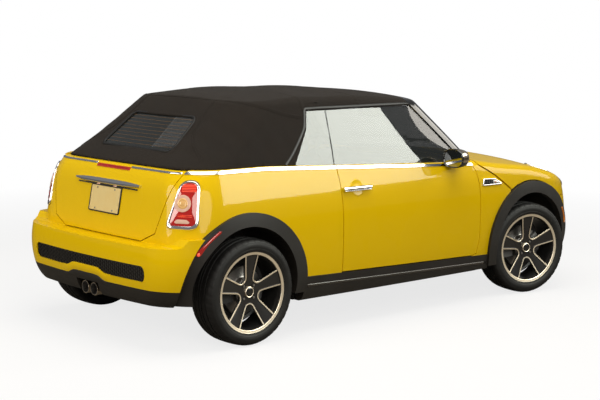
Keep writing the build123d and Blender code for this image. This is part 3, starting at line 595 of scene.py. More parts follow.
def skinLathe(shape, skin, centre, profile, segments=48, material=0):
    # rings of (radius, rise) about a point on a skin
    rings = []
    for radius, rise in profile:
        rings.append([shape.verts.new(skin.at(centre[0] + radius * math.cos(2 * math.pi * k / segments),
                                              centre[1] + radius * math.sin(2 * math.pi * k / segments),
                                              rise))
                      for k in range(segments)])
    bridgeRings(shape, rings, True, False, material, caps=False)
    face = shape.faces.new(rings[-1])
    face.material_index = material


def fillPatch(shape, skin, outline, rise, dome=0.0, rings=6, material=0, middle=None):
    # a filled outline on a skin, raised and slightly domed
    count = len(outline)
    centre = Vector(middle) if middle else sum(outline, Vector((0, 0))) / count
    loops = []
    for level in range(rings):
        share = 1 - level / rings
        loops.append([shape.verts.new(skin.at(*(centre + (spot - centre) * share),
                                              rise + dome * (1 - share ** 2)))
                      for spot in outline])
    bridgeRings(shape, loops, True, False, material, caps=False)
    tip = shape.verts.new(skin.at(centre.x, centre.y, rise + dome))
    for k in range(count):
        face = shape.faces.new((loops[-1][k], loops[-1][(k + 1) % count], tip))
        face.material_index = material
    return loops[0]


def skirt(shape, loop, outline, skin, depth, material=0):
    # closes the side of a patch down into the surface
    low = [shape.verts.new(skin.at(spot.x, spot.y, depth)) for spot in outline]
    bridgeRings(shape, [loop, low], True, False, material, caps=False)


def spinProfile(shape, profile, segments, place, material=0, closed=True, wobble=None):
    # turns a section of (radius, outward) points about a wheel's axle
    rings = []
    for k in range(segments):
        angle = 2 * math.pi * k / segments
        ring = []
        for index, (radius, out) in enumerate(profile):
            reach = radius + (wobble(k, index, radius, out) if wobble else 0)
            ring.append(shape.verts.new(place
                    @ Vector((reach * math.sin(angle), out, reach * math.cos(angle)))))
        rings.append(ring)
    bridgeRings(shape, rings, closed, True, material)
    return rings


def outlineBand(shape, skin, outline, profile, material=0, widths=None):
    # a moulding that follows a closed outline on a skin
    points = [skin.at(spot.x, spot.y) for spot in outline]
    normals = [skin.normal(spot.x, spot.y) for spot in outline]
    sweepProfile(shape, points, normals, profile, True, material, widths)


def circleOutline(radius, centre=(0, 0), count=32, squash=1.0):
    return [Vector((centre[0] + radius * math.cos(2 * math.pi * k / count),
                    centre[1] + radius * squash * math.sin(2 * math.pi * k / count)))
                    for k in range(count)]


# wheels
wheelSet = {
    "rear": (-1.270, 0.7305, 0.308), "front": (1.197, 0.7265, 0.308),
    "kingpinLow": (1.197, 0.6805, 0.165), "kingpinTop": (1.197, 0.5305, 0.700), "steerAtRest": -12,
    "spokeStart": 0.072, "spokeEnd": 0.215, "spokeHalfInner": 0.0295, "spokeHalfOuter": 0.049,
    "hubFace": 0.062, "rimFace": 0.088, "spokeDepth": 0.022, "edgeWidth": 0.0075, "edgeStep": 0.0045,
}


def wheelPlace(name):
    # from wheel space, X forward, Y outward, Z up, to the row frame
    end, side = name.split("_")
    sign = 1 if side == "left" else -1
    centre = wheelSet[end]
    place = Matrix.Translation((centre[0], sign * centre[1],
                                centre[2])) @ Matrix.Diagonal((1, sign, 1, 1))
    if end == "front":
        low = Vector((wheelSet["kingpinLow"][0], sign * wheelSet["kingpinLow"][1],
                      wheelSet["kingpinLow"][2]))
        top = Vector((wheelSet["kingpinTop"][0], sign * wheelSet["kingpinTop"][1],
                      wheelSet["kingpinTop"][2]))
        turn = Matrix.Rotation(math.radians(wheelSet["steerAtRest"]), 4, top - low)
        place = Matrix.Translation(low) @ turn @ Matrix.Translation(-low) @ place
    return place


def windowHalf(values, steps=15):
    # half of one window's edge, beside a spoke that points up, from the window's foot to the rim
    def spokeEdge(radius):
        share = (radius - 0.086) / (values["spokeEnd"] - 0.086)
        return values["spokeHalfInner"] + share * (values["spokeHalfOuter"] - values["spokeHalfInner"])
    tip = Vector((math.sin(math.radians(36)), math.cos(math.radians(36)))) * values["spokeStart"]
    flat = Vector((math.cos(math.radians(36)), -math.sin(math.radians(36))))
    straightFoot = Vector((spokeEdge(0.112), 0.112))
    high = Vector((spokeEdge(values["spokeEnd"]), values["spokeEnd"]))
    high = high * (values["spokeEnd"] / high.length)
    along = (high - straightFoot).normalized()
    points = []
    bend = 8
    for k in range(bend):
        t = k / bend
        near, far = tip - flat * 0.020, straightFoot - along * 0.030
        points.append(tip * (1 - t) ** 3 + near * 3 * t * (1 - t) ** 2 + far * 3 * t * t * (1 - t)
                      + straightFoot * t ** 3)
    for k in range(steps - bend):
        points.append(straightFoot.lerp(high, k / (steps - bend - 1)))
    return points


def faceHeight(radius, values):
    share = min(1, max(0, (radius - 0.045) / (values["spokeEnd"] - 0.045)))
    return values["hubFace"] + (values["rimFace"] - values["hubFace"]) * share ** 1.3


def addSpokes(shape, place, values):
    half = windowHalf(values)
    count = len(half)
    normals = []
    for k in range(count):
        if k == 0:
            way = Vector((-math.sin(math.radians(36)), -math.cos(math.radians(36))))
        else:
            along = (half[min(k + 1, count - 1)] - half[k - 1]).normalized()
            way = Vector((-along.y, along.x))
            if way.dot(Vector((0, 0.05)) - half[k]) < 0 and half[k].y < 0.07:
                way = -way
            if half[k].y >= 0.07 and way.x > 0:
                way = -way
        normals.append(way)
    for spoke in range(5):
        turn = Matrix.Rotation(-2 * math.pi * spoke / 5, 2)

        def vertex(flat, drop):
            spot = turn @ flat
            radius = flat.length
            return shape.verts.new(place @ Vector((spot.x, faceHeight(radius, values) - drop, spot.y)))

        columns = 9
        front, back = [], []
        for k in range(count):
            edge = half[k]
            inset = edge + normals[k] * values["edgeWidth"]
            step = edge + normals[k] * (values["edgeWidth"] + 0.003)
            mirrorEdge, mirrorInset, mirrorStep = (Vector((-v.x, v.y)) for v in (edge, inset, step))
            row = [vertex(edge, 0.0008), vertex(edge + normals[k] * 0.001, 0), vertex(inset, 0),
                   vertex(step, values["edgeStep"])]
            for j in range(1, columns):
                t = j / columns
                row.append(vertex(step.lerp(mirrorStep, t),
                                  values["edgeStep"] - 0.0015 * math.sin(math.pi * t)))
            row += [vertex(mirrorStep, values["edgeStep"]), vertex(mirrorInset, 0),
                    vertex(mirrorEdge + Vector((-normals[k].x, normals[k].y)) * 0.001, 0),
                    vertex(mirrorEdge, 0.0008)]
            front.append(row)
            back.append([vertex(edge + normals[k] * 0.003, values["spokeDepth"]),
                         vertex(mirrorEdge + Vector((-normals[k].x, normals[k].y)) * 0.003,
                                values["spokeDepth"])])
        width = len(front[0])
        for k in range(count - 1):
            for j in range(width - 1):
                face = shape.faces.new((front[k][j], front[k][j + 1], front[k + 1][j + 1],
                                        front[k + 1][j]))
                face.material_index = 1 if j in (0, 1, width - 2, width - 3) else 0
            for a, b in ((0, 0), (width - 1, 1)):
                face = shape.faces.new((front[k][a], front[k + 1][a], back[k + 1][b], back[k][b]))
                face.material_index = 0
            shape.faces.new((back[k][0], back[k + 1][0], back[k + 1][1], back[k][1]))
        # the hub's share of this spoke, closing to the centre
        inner = front[0][3:-3]
        previous = inner
        for level in range(1, 4):
            share = 1 - level / 4
            row = []
            for j in range(len(inner)):
                t = j / (len(inner) - 1)
                stepPoint = half[0] + normals[0] * (values["edgeWidth"] + 0.003)
                flat = stepPoint.lerp(Vector((-stepPoint.x, stepPoint.y)), t) * share
                row.append(vertex(flat, values["edgeStep"]))
            for j in range(len(inner) - 1):
                shape.faces.new((previous[j], previous[j + 1], row[j + 1], row[j]))
            previous = row
        centre = vertex(Vector((0, 0)), values["edgeStep"])
        for j in range(len(inner) - 1):
            shape.faces.new((previous[j], previous[j + 1], centre))
        rear = shape.verts.new(place @ Vector((0, values["hubFace"] - values["spokeDepth"], 0)))
        shape.faces.new((back[0][0], back[0][1], rear))


def makeRim(name):
    values = wheelSet
    place = wheelPlace(name)
    shape = bmesh.new()
    addSpokes(shape, place, values)
    barrel = [(0.2135, 0.0865), (0.2165, 0.0905), (0.2190, 0.0925), (0.2300, 0.0935), (0.2330, 0.0945),
              (0.2330, 0.0915), (0.2290, 0.0885), (0.2240, 0.0800), (0.2180, 0.0500), (0.2170, -0.0500),
              (0.2240, -0.0800), (0.2290, -0.0885), (0.2330, -0.0915), (0.2330, -0.0945),
              (0.2270, -0.0940),
              (0.2200, -0.0860), (0.2120, -0.0500), (0.2100, 0.0500), (0.2105, 0.0740)]
    rings = spinProfile(shape, barrel, 120, place)
    bright = {frozenset((id(ring[k]), id(ring[k + 1]))) for ring in rings for k in (1, 2, 3)}
    for face in shape.faces:
        if len(face.verts) == 4 and any(frozenset((id(e.verts[0]), id(e.verts[1]))) in bright
                                        for e in face.edges):
            sides = sum(frozenset((id(e.verts[0]), id(e.verts[1]))) in bright for e in face.edges)
            if sides == 2:
                face.material_index = 1
    bmesh.ops.remove_doubles(shape, verts=shape.verts, dist=0.00005)
    rim = newPiece("wheelRim_" + name, shape, ["darkAlloy", "machinedFace"], "wheel_" + name)
    sharpen(rim, 28)
    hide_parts("rim_" + name)

    # centre cap, bolts, and the brake disc behind the spokes
    shape = bmesh.new()
    spinProfile(shape, [(0.0, 0.071), (0.012, 0.0708), (0.022, 0.0695), (0.0265, 0.067), (0.0265, 0.054),
                        (0.0, 0.054)],
                40, place, 0)
    spinProfile(shape, [(0.0265, 0.0675), (0.0285, 0.0685), (0.0305, 0.0672), (0.0310, 0.056),
                        (0.0265, 0.056)],
                40, place, 1)
    for bolt in range(4):
        angle = math.radians(45 + 90 * bolt)
        centre = Vector((0.050 * math.sin(angle), 0, 0.050 * math.cos(angle)))
        inner = place @ Matrix.Translation(centre)
        cup = [(0.0125, 0.0585), (0.0135, 0.0600), (0.0120, 0.0602), (0.0110, 0.0570), (0.0110, 0.0560)]
        spinProfile(shape, cup, 24, inner, 2)
        spinProfile(shape, [(0.0, 0.0630), (0.0070, 0.0628), (0.0080, 0.0615), (0.0082, 0.0560),
                            (0.0, 0.0560)],
                    6, inner, 3)
    disc = [(0.1400, -0.0015), (0.1390, 0.0), (0.0850, 0.0), (0.0790, 0.0030), (0.0760, 0.0400),
            (0.0700, 0.0420),
            (0.0, 0.0420), (0.0, 0.0360), (0.0700, 0.0340), (0.0720, -0.0220), (0.1390, -0.0220),
            (0.1400, -0.0205),
            (0.1400, -0.0150), (0.1300, -0.0145), (0.1300, -0.0070), (0.1400, -0.0065)]
    spinProfile(shape, disc, 72, place, 3)
    bmesh.ops.remove_doubles(shape, verts=shape.verts, dist=0.00005)
    core = newPiece("wheelCore_" + name, shape, ["pianoBlack", "machinedFace", "darkAlloy", "dullSteel"],
                    "wheel_" + name)
    sharpen(core)


def makeTyre(name):
    place = wheelPlace(name)
    shape = bmesh.new()
    half = [(0.3080, 0.006), (0.3010, 0.0075), (0.3010, 0.0145), (0.3078, 0.016), (0.3072, 0.042),
            (0.3005, 0.0435),
            (0.3005, 0.0505), (0.3066, 0.052), (0.3052, 0.070), (0.3030, 0.0795), (0.2995, 0.0870),
            (0.2940, 0.0930),
            (0.2880, 0.0975), (0.2865, 0.0975), (0.2800, 0.1005), (0.2700, 0.1025), (0.2600, 0.1020),
            (0.2520, 0.0995), (0.2505, 0.1003), (0.2485, 0.0985), (0.2420, 0.0965), (0.2350, 0.0945),
            (0.2330, 0.0915), (0.2300, 0.0885)]
    profile = [(radius, -out) for radius, out in reversed(half)] + [(0.3080, 0.0)] + half

    def treadBlock(step, index, radius, out):
        # sipes across the ribs, leaning by side, and shoulder slots
        side = 1 if out > 0 else -1
        wide = abs(out)
        phase = (step + side * int(wide * 60)) % 7
        if radius > 0.3050 and 0.016 <= wide <= 0.042 and phase == 0:
            return -0.0030
        if 0.052 <= wide <= 0.0932 and radius > 0.293 and phase == 0:
            return -0.0036
        if 0.0970 < wide < 0.0976 and radius < 0.2870:
            return -0.0006
        return 0
    spinProfile(shape, profile, 280, place, 0, False, treadBlock)
    inside = [(0.2300, -0.0885), (0.2260, -0.0700), (0.2260, 0.0700), (0.2300, 0.0885)]
    spinProfile(shape, inside, 280, place, 0, False)
    bmesh.ops.remove_doubles(shape, verts=shape.verts, dist=0.00005)
    tyre = newPiece("treadTyre_" + name, shape, ["tyreRubber"], "wheel_" + name)
    sharpen(tyre, 40)
    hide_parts("tyre_" + name)


def makeCaliper(name):
    # a single-piston caliper over the disc's edge, behind the axle at the rear and ahead of it at the front
    end, side = name.split("_")
    place = wheelPlace(name)
    shape = bmesh.new()
    middle = math.radians(-78 if end == "rear" else 80)
    section = [(0.092, 0.022), (0.128, 0.026), (0.150, 0.020), (0.156, 0.004), (0.156, -0.030),
               (0.148, -0.046),
               (0.120, -0.052), (0.096, -0.046), (0.096, -0.028), (0.143, -0.027), (0.143, 0.006),
               (0.092, 0.006)]
    rings = []
    steps = 14
    for k in range(steps + 1):
        share = 2 * k / steps - 1
        angle = middle + math.radians(27) * share
        ease = 1 - 0.16 * share ** 4
        ring = []
        for radius, out in section:
            reach = 0.125 + (radius - 0.125) * ease
            ring.append(shape.verts.new(place
                    @ Vector((reach * math.sin(angle), out * ease, reach * math.cos(angle)))))
        rings.append(ring)
    bridgeRings(shape, rings)
    body = "knuckle_" + side if end == "front" else "body"
    caliper = newPiece("brakeCaliper_" + name, shape, ["castMetal"], body)
    sharpen(caliper, 30)
    caliper.modifiers.new("ease", "BEVEL").width = 0.002


def makeShield(name):
    # the pressed plate behind the disc, with two swaged rings
    end, side = name.split("_")
    shape = bmesh.new()
    spinProfile(shape, [(0.060, -0.050), (0.110, -0.050), (0.114, -0.046), (0.126, -0.046),
                        (0.130, -0.050),
                        (0.160, -0.050), (0.164, -0.047), (0.174, -0.047), (0.186, -0.040),
                        (0.189, -0.040),
                        (0.176, -0.050), (0.164, -0.053), (0.060, -0.053)], 64, wheelPlace(name))
    shield = newPiece("brakeShield_" + name, shape, ["darkMetal"], "knuckle_" + side
                      if end == "front" else "body")
    sharpen(shield, 30)


for wheelName in ("rear_left", "rear_right", "front_left", "front_right"):
    makeRim(wheelName)
    makeTyre(wheelName)
    makeCaliper(wheelName)
    makeShield(wheelName)
print("wheels made")


# fabric roof: the outer skin of the CAD solid, pulled in between its bows
roofSet = {
    "axisHeight": 0.90, "bows": (0.26, -0.24, -0.70, -1.14), "sag": 0.0045, "sidePull": 0.004,
    "step": 0.030, "thickness": 0.0045, "flat": (2.10, 2.30),
}


def roofSag(spot):
    # how far the cloth sits inside the taut form, nought over a bow and at the edges
    bows = roofSet["bows"]
    depth = 0.0
    for front, back in zip(bows, bows[1:]):
        if back <= spot.x <= front:
            share = (front - spot.x) / (front - back)
            depth = roofSet["sag"] * math.sin(math.pi * share) ** 2
    high = min(1, max(0, (spot.z - 1.20) / 0.12))
    side = min(1, max(0, (spot.z - 1.02) / 0.08)) * (1 - high)
    back = min(1, max(0, (-0.75 - spot.x) / 0.15))
    ripple = 0.0008 * math.sin(spot.x * 41 + spot.z * 23) * side * back
    return depth * high + roofSet["sidePull"] * side * back + ripple


def makeRoof():
    source = nodes["fabric_top"].data
    tree = nodeTree(["fabric_top"])
    shape = bmesh.new()
    shape.from_mesh(source)
    bmesh.ops.remove_doubles(shape, verts=shape.verts, dist=0.0001)
    inner = []
    for face in shape.faces:
        middle = face.calc_center_median()
        away = Vector((0, middle.y, middle.z - roofSet["axisHeight"] + 0.25))
        away.x = -0.6 if middle.x < -1.1 else 0
        away.normalize()
        hit = tree.ray_cast(middle + face.normal * 0.0008, face.normal, 0.045)[0]
        if face.normal.dot(away) < 0.25 or hit is not None:
            inner.append(face)
    bmesh.ops.delete(shape, geom=inner, context="FACES")
    for turn in range(6):
        long = [edge for edge in shape.edges if edge.calc_length() > roofSet["step"]]
        if not long:
            break
        bmesh.ops.subdivide_edges(shape, edges=long, cuts=1)
        bmesh.ops.triangulate(shape, faces=[face for face in shape.faces if len(face.verts) > 3])
    shape.normal_update()
    moves = [(vertex, vertex.normal.copy()) for vertex in shape.verts]
    for vertex, normal in moves:
        edge = vertex.is_boundary
        vertex.co -= normal * (0 if edge else roofSag(vertex.co))
    area = sum(face.calc_area() for face in shape.faces)
    mesh = bpy.data.meshes.new("fabricRoof")
    shape.to_mesh(mesh)
    shape.free()
    mesh.materials.append(finishes["roofFabric"])
    mesh.shade_smooth()
    roof = bpy.data.objects.new("fabricRoof", mesh)
    bpy.context.scene.collection.objects.link(roof)
    thick = roof.modifiers.new("thick", "SOLIDIFY")
    thick.thickness = roofSet["thickness"]
    thick.offset = -1
    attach(roof, "body")
    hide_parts("fabric_top")
    print("roof area", round(area, 3), "faces", len(mesh.polygons))
    return roof, tree, area


def roofPoint(tree, x, degrees):
    # a point and normal on the roof, by station and angle about the cabin's middle line
    angle = math.radians(degrees)
    away = Vector((0, math.sin(angle), math.cos(angle)))
    start = Vector((x, 0, roofSet["axisHeight"])) + away * 1.2
    hit, normal, index, distance = tree.ray_cast(start, -away, 1.2)
    if hit is None:
        return None
    return hit - normal * roofSag(hit), normal


def makeSeam(name, tree, line, profile, finish="roofFabric", closed=False):
    found = [roofPoint(tree, x, degrees) for x, degrees in line]
    found = [entry for entry in found if entry]
    points, normals = [entry[0] for entry in found], [entry[1] for entry in found]
    shape = bmesh.new()
    sweepProfile(shape, points, normals, profile, closed)
    seam = newPiece(name, shape, [finish], "body")
    sharpen(seam, 50)
    return seam


def splineLine(knots, count):
    # an even, smooth run through (x, angle) knots
    out = []
    for k in range(count + 1):
        t = k / count * (len(knots) - 1)
        part = min(int(t), len(knots) - 2)
        t -= part
        a, b = knots[max(part - 1, 0)], knots[part]
        c, d = knots[part + 1], knots[min(part + 2, len(knots) - 1)]
        spot = []
        for axis in range(len(a)):
            spot.append(0.5 * (2 * b[axis] + (c[axis] - a[axis]) * t
                               + (2 * a[axis] - 5 * b[axis] + 4 * c[axis] - d[axis]) * t * t
                               + (3 * b[axis] - a[axis] - 3 * c[axis] + d[axis]) * t ** 3))
        out.append(tuple(spot))
    return out


fabricRoof, roofTree, roofArea = makeRoof()
seamShape = [(-0.011, -0.002), (-0.011, 0.0010), (-0.009, 0.0018), (-0.0035, 0.0018), (-0.0028, 0.0008),
             (0.0028, 0.0008), (0.0035, 0.0018), (0.009, 0.0018), (0.011, 0.0010), (0.011, -0.002)]
for side in (-1, 1):
    makeSeam("roofSeamRail_" + ("right" if side < 0 else "left"), roofTree, splineLine(
        [(-1.165, 0.0), (-1.160, side * 20.0), (-1.135, side * 38.0), (-1.04, side * 50.0),
         (-0.90, side * 56.0),
         (-0.73, side * 59.5)], 90), seamShape)
    makeSeam("roofSeamBack_" + ("right" if side < 0 else "left"), roofTree, splineLine(
        [(-1.145, side * 34.0), (-1.27, side * 44.0), (-1.39, side * 58.0), (-1.47, side * 76.0)], 50),
                               seamShape)
bowShape = [(-0.030, -0.003), (-0.016, 0.0004), (-0.006, 0.0022), (0.006, 0.0022), (0.016, 0.0004),
            (0.030, -0.003)]
for number, bowX in enumerate(roofSet["bows"][1:3]):
    makeSeam("roofBow_%d" % number, roofTree,
                               [(bowX, degrees) for degrees in range(-56, 57, 2)], bowShape)
print("roof made")

# tail lamps
tailSet = {
    "origin": (-1.645, 0.680, 0.825), "half": (0.104, 0.150), "hole": (0.080, 0.126),
    "corners": [(-0.092, -0.124), (0.080, -0.126), (0.080, 0.120), (-0.014, 0.121)],
    "radii": [0.030, 0.052, 0.050, 0.052], "ring": (-0.004, 0.006, 0.046),
           "bar": (-0.006, -0.090, 0.042, 0.012),
}


def tailSkin(side, values):
    # u runs outboard on the right side and inboard on the left, so outlines are mirrored by side
    origin = Vector((values["origin"][0], side * values["origin"][1], values["origin"][2]))
    right = Vector((-side * 0.70711, -0.70711, 0))
    return Skin(quarterTree, origin, right, (0, 0, 1), values["half"], values["hole"],
                tailTree, 0.007, 4)


def makeTailLamp(side):
    name = "left" if side > 0 else "right"
    values = tailSet
    skin = tailSkin(side, values)
    flip = -side
    outline = roundedOutline([(flip * u, v) for u, v in values["corners"]], values["radii"], 10)
    shape = bmesh.new()
    cover = [Vector((0.083 * math.cos(math.pi * k / 36), 0.129 * math.sin(math.pi * k / 36)))
             for k in range(72)]
    coverLoop = fillPatch(shape, skin, cover, 0.0007, 0.0, 8, 0)
    skirt(shape, coverLoop, cover, skin, -0.003, 0)
    panel = newPiece("lampPanel_" + name, shape, ["yellowPaint"], "body")
    sharpen(panel, 50)
    shape = bmesh.new()
    loop = fillPatch(shape, skin, outline, 0.0045, 0.0060, 7, 0)
    skirt(shape, loop, outline, skin, -0.004, 0)
    # clear reflector rings round the indicator, then the reversing bar below
    u, v, radius = values["ring"]
    ringProfile = [(radius, 0.0060), (radius, 0.0105), (radius * 0.94, 0.0120), (radius * 0.88, 0.0108),
                   (radius * 0.82, 0.0118), (radius * 0.76, 0.0106), (radius * 0.70, 0.0116),
                   (radius * 0.64, 0.0104)]
    skinLathe(shape, skin, (flip * u, v), ringProfile, 48, 1)
    skinLathe(shape, skin, (flip * u, v),
              [(radius * 0.64, 0.0100), (radius * 0.60, 0.0118), (radius * 0.42, 0.0128),
                                           (radius * 0.36, 0.0112), (radius * 0.30, 0.0126),
                                           (0.0006, 0.0130)], 48, 2)
    for row in range(7):
        # small prisms across the red field above and below the ring, in the emitting red: a painted glint
        # of the prisms catching light
        z = 0.104 - 0.0085 * row if row < 5 else -0.056 - 0.0085 * (row - 5)
        line = [Vector((flip * (-0.010 + 0.078 * k / 8 - (0.020 if row > 4 else 0)), z))
                for k in range(9)]
        sweepProfile(shape, [skin.at(spot.x, spot.y, 0.0088) for spot in line],
                     [skin.normal(spot.x, spot.y) for spot in line],
                     [(-0.0026, -0.002), (0, 0.0016), (0.0026, -0.002)], material=3)
    u, v, wide, tall = values["bar"]
    u *= flip
    barLine = roundedOutline([(u - wide, v - tall), (u + wide, v - tall), (u + wide, v + tall),
                              (u - wide, v + tall)],
                             tall * 0.9, 6)
    barLoop = fillPatch(shape, skin, barLine, 0.0072, 0.0015, 4, 1)
    skirt(shape, barLoop, barLine, skin, 0.004, 1)
    lamp = newPiece("tailLamp_" + name, shape, ["redLens", "clearLens", "amberGlow", "redPaintedGlint"], "body")
    sharpen(lamp, 50)
    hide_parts("tail_lamps")
    shape = bmesh.new()
    lows = [max(0.0, (-spot.y - 0.07) / 0.05) for spot in outline]
    outlineBand(shape, skin, outline,
                [(-0.0065, -0.003), (-0.0075, 0.004), (-0.0045, 0.0095), (0.0015, 0.0105),
                                       (0.0065, 0.0080), (0.0085, 0.0015), (0.0085, -0.003)],
                widths=[1 + 0.55 * min(1, low) for low in lows])
    bezel = newPiece("tailBezel_" + name, shape, ["brightTrim"], "body")
    shape = bmesh.new()
    outlineBand(shape, skin, [spot * 1.075 for spot in outline],
                [(-0.004, -0.002), (-0.003, 0.0022), (0.003, 0.0014),
                                                                 (0.004, -0.002)])
    gasket = newPiece("tailGasket_" + name, shape, ["blackPlastic"], "body")


quarterTree = nodeTree(["quarter_panels"])
tailTree = nodeTree(["tail_lamps"])
for side in (-1, 1):
    makeTailLamp(side)
print("tail lamps made")

# side markers on the arch trims
markerSet = {
    "rear": {"centre": (-1.288, 0.335), "radius": 0.402, "start": 148, "end": 121,
             "node": "rear_markers",
             "finish": "redLens", "slot": "red_lens"},
    "front": {"centre": (1.179, 0.335), "radius": 0.400, "start": 16, "end": 34, "node": "front_markers",
              "finish": "amberLens", "slot": "amber_lens"},
}


def makeMarker(end, side, tree):
    values = markerSet[end]
    count = 30
    starts = []
    for k in range(count + 1):
        angle = math.radians(values["start"] + (values["end"] - values["start"]) * k / count)
        starts.append(Vector((values["centre"][0] + values["radius"] * math.cos(angle), side * 0.9,
                              values["centre"][1] + values["radius"] * math.sin(angle))))
    points, normals = castLine(tree, starts, (0, -side, 0), 0.25)
    found = len(points) - 1
    widths = []
    for k in range(found + 1):
        t = k / found
        roundness = math.sqrt(max(0.04, 1 - (1 - min(1, t / 0.13)) ** 2))
        tip = min(1, (1 - t) / 0.04 + 0.15)
        widths.append(roundness * (1 - 0.55 * min(1, t / 0.45)) * tip)
    shape = bmesh.new()
    sweepProfile(shape, points, normals, bandSection(0.0165, 0.0055, 0.003, 0.5), widths=widths)
    marker = newPiece("sideMarker_%s_%s" % (end, "left" if side > 0 else "right"), shape,
                      [values["finish"]], "body")
    sharpen(marker, 50)
    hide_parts(values["node"])
    # a reflector dome at the round end; on the rear markers it emits red, a painted glint standing in for
    # the reflector catching light
    at = max(1, int(found * 0.09))
    shape = bmesh.new()
    normal = normals[at]
    turn = normal.to_track_quat("Z", "Y").to_matrix().to_4x4()
    place = Matrix.Translation(points[at] + normal * 0.0052) @ turn
    bmesh.ops.create_uvsphere(shape, u_segments=24, v_segments=12, radius=0.0095,
                              matrix=place @ Matrix.Diagonal((1, 1, 0.35, 1)))
    glow = newPiece("markerGlow_%s_%s" % (end, "left" if side > 0 else "right"), shape,
                    ["redPaintedGlint" if end == "rear" else "clearLens"], "body")


trimTree = nodeTree(["arch_trims"])
for side in (-1, 1):
    makeMarker("rear", side, trimTree)
    makeMarker("front", side, trimTree)
print("markers made")

# boot lid: handle bar, plate, brake lamp
lidTree = nodeTree(["lid"])


def makeHandle():
    # a bright bar with a full middle, thin rounded ends, and under it a black band: painted shade of the
    # hand recess
    starts = [Vector((-2.0, -0.328 + 0.656 * k / 60, 0.8945)) for k in range(61)]
    points, normals = castLine(lidTree, starts, (1, 0, 0), 0.9)
    widths = [0.45 + 0.55 * max(0.0, 1 - abs(2 * k / 60 - 1) ** 3.2) for k in range(61)]
    shape = bmesh.new()
    section = [(-0.0175, -0.002), (-0.0180, 0.004), (-0.0150, 0.0105), (-0.0080, 0.0148), (0.0, 0.0160),
               (0.0080, 0.0148), (0.0150, 0.0105), (0.0180, 0.004), (0.0175, -0.002)]
    sweepProfile(shape, points, normals, section, widths=widths)
    handle = newPiece("bootHandle", shape, ["brightTrim"], "lid")
    sharpen(handle, 60)
    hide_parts("lid_handle")
    shape = bmesh.new()
    # a black band just under the bar, painted shade where the hand recess lies
    low = [Vector((-2.0, -0.30 + 0.60 * k / 50, 0.8735)) for k in range(51)]
    points, normals = castLine(lidTree, low, (1, 0, 0), 0.9)
    sweepProfile(shape, points, normals, bandSection(0.0045, 0.0075, 0.002, 0.3))
    recessShade = newPiece("handRecessShade", shape, ["pianoBlack"], "lid")
    shape = bmesh.new()
    for y in (-0.085, 0.085):
        spots, ways = castLine(lidTree, [Vector((-2.0, y + dy, 0.8740))
                                         for dy in (-0.016, -0.008, 0, 0.008, 0.016)],
                               (1, 0, 0), 0.9)
        sweepProfile(shape, spots, ways, bandSection(0.0040, 0.0088, 0.001, 0.4))
    lights = newPiece("plateLamps", shape, ["clearLens"], "lid")


def makePlate():
    low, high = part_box("number_plate")
    tree = nodeTree(["number_plate"])
    half = ((high[1] - low[1]) / 2, (high[2] - low[2]) / 2)
    middle = Vector((0.5 * (low[0] + high[0]), 0, 0.5 * (low[2] + high[2])))
    skin = Skin(tree, middle, (0, -1, 0), (0, 0, 1), (half[0] * 0.9, half[1] * 0.9))
    wide, tall = half[0] - 0.001, half[1] - 0.001
    outline = roundedOutline([(-wide, -tall), (wide, -tall), (wide, tall), (-wide, tall)], 0.010, 6)
    shape = bmesh.new()
    outlineBand(shape, skin, outline, [(-0.0035, -0.006), (-0.0035, 0.0006), (-0.0015, 0.0022),
                                       (0.0025, 0.0022),
                                       (0.0045, 0.0008), (0.0045, -0.006)])
    rim = newPiece("plateFrame", shape, ["blackPlastic"], "lid")
    shape = bmesh.new()
    for u in (-0.089, 0.089):
        for v in (-0.060, 0.060):
            spot, normal = skin.at(u, v), skin.normal(u, v)
            place = Matrix.Translation(spot) @ normal.to_track_quat("Y", "Z").to_matrix().to_4x4()
            spinProfile(shape, [(0.0, 0.0022), (0.0035, 0.0021), (0.0052, 0.0014), (0.0060, 0.0),
                                (0.0, -0.001)],
                        20, place)
    inner = roundedOutline([(-wide + 0.012, -tall + 0.010), (wide - 0.012, -tall + 0.010),
                            (wide - 0.012, tall - 0.010), (-wide + 0.012, tall - 0.010)], 0.008, 6)
    bolts = newPiece("plateBolts", shape, ["dullSteel"], "lid")
    shape = bmesh.new()
    outlineBand(shape, skin, inner,
                [(-0.0012, -0.001), (-0.0008, 0.0006), (0.0008, 0.0006), (0.0012, -0.001)])
    bead = newPiece("plateBead", shape, ["blankPlate"], "lid")


def makeBrakeLamp():
    low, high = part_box("lid_brake_lamp")
    tree = nodeTree(["lid_brake_lamp"])
    starts = [Vector((-2.2, low[1] + 0.006 + (high[1] - low[1] - 0.012) * k / 40,
                      (low[2] + high[2]) / 2))
              for k in range(41)]
    points, normals = castLine(tree, starts, (1, 0, 0), 1.2)
    shape = bmesh.new()
    for share in (-0.0048, -0.0016, 0.0016, 0.0048):
        sweepProfile(shape, [spot + Vector((0, 0, share)) for spot in points], normals,
                     [(-0.0015, -0.001), (-0.0011, 0.0006), (0.0011, 0.0006), (0.0015, -0.001)])
    ribs = newPiece("brakeLampRibs", shape, ["redLens"], "lid")


def makeLidStrip():
    # the bright strip at the lid's top edge, either side of the brake lamp
    for side in (-1, 1):
        starts = [Vector((-2.2, side * (0.176 + 0.470 * k / 50), 0.9905)) for k in range(51)]
        points, normals = castLine(lidTree, starts, (1, 0, 0), 1.2)
        kept = [(spot, way) for spot, way in zip(points, normals) if spot.x < -1.3]
        shape = bmesh.new()
        sweepProfile(shape, [spot for spot, way in kept], [way for spot, way in kept],
                     bandSection(0.0070, 0.0038, 0.002, 0.35))
        strip = newPiece("lidStrip_" + ("left" if side > 0 else "right"), shape, ["brightTrim"], "lid")


makeHandle()
makeLidStrip()
makePlate()
makeBrakeLamp()
print("boot lid fittings made")

# rear bumper: honeycomb, surround over the pipes, pipes
meshSet = {"halfWidth": 0.545, "low": 0.399, "high": 0.481, "cell": 0.0125, "line": 0.0016}


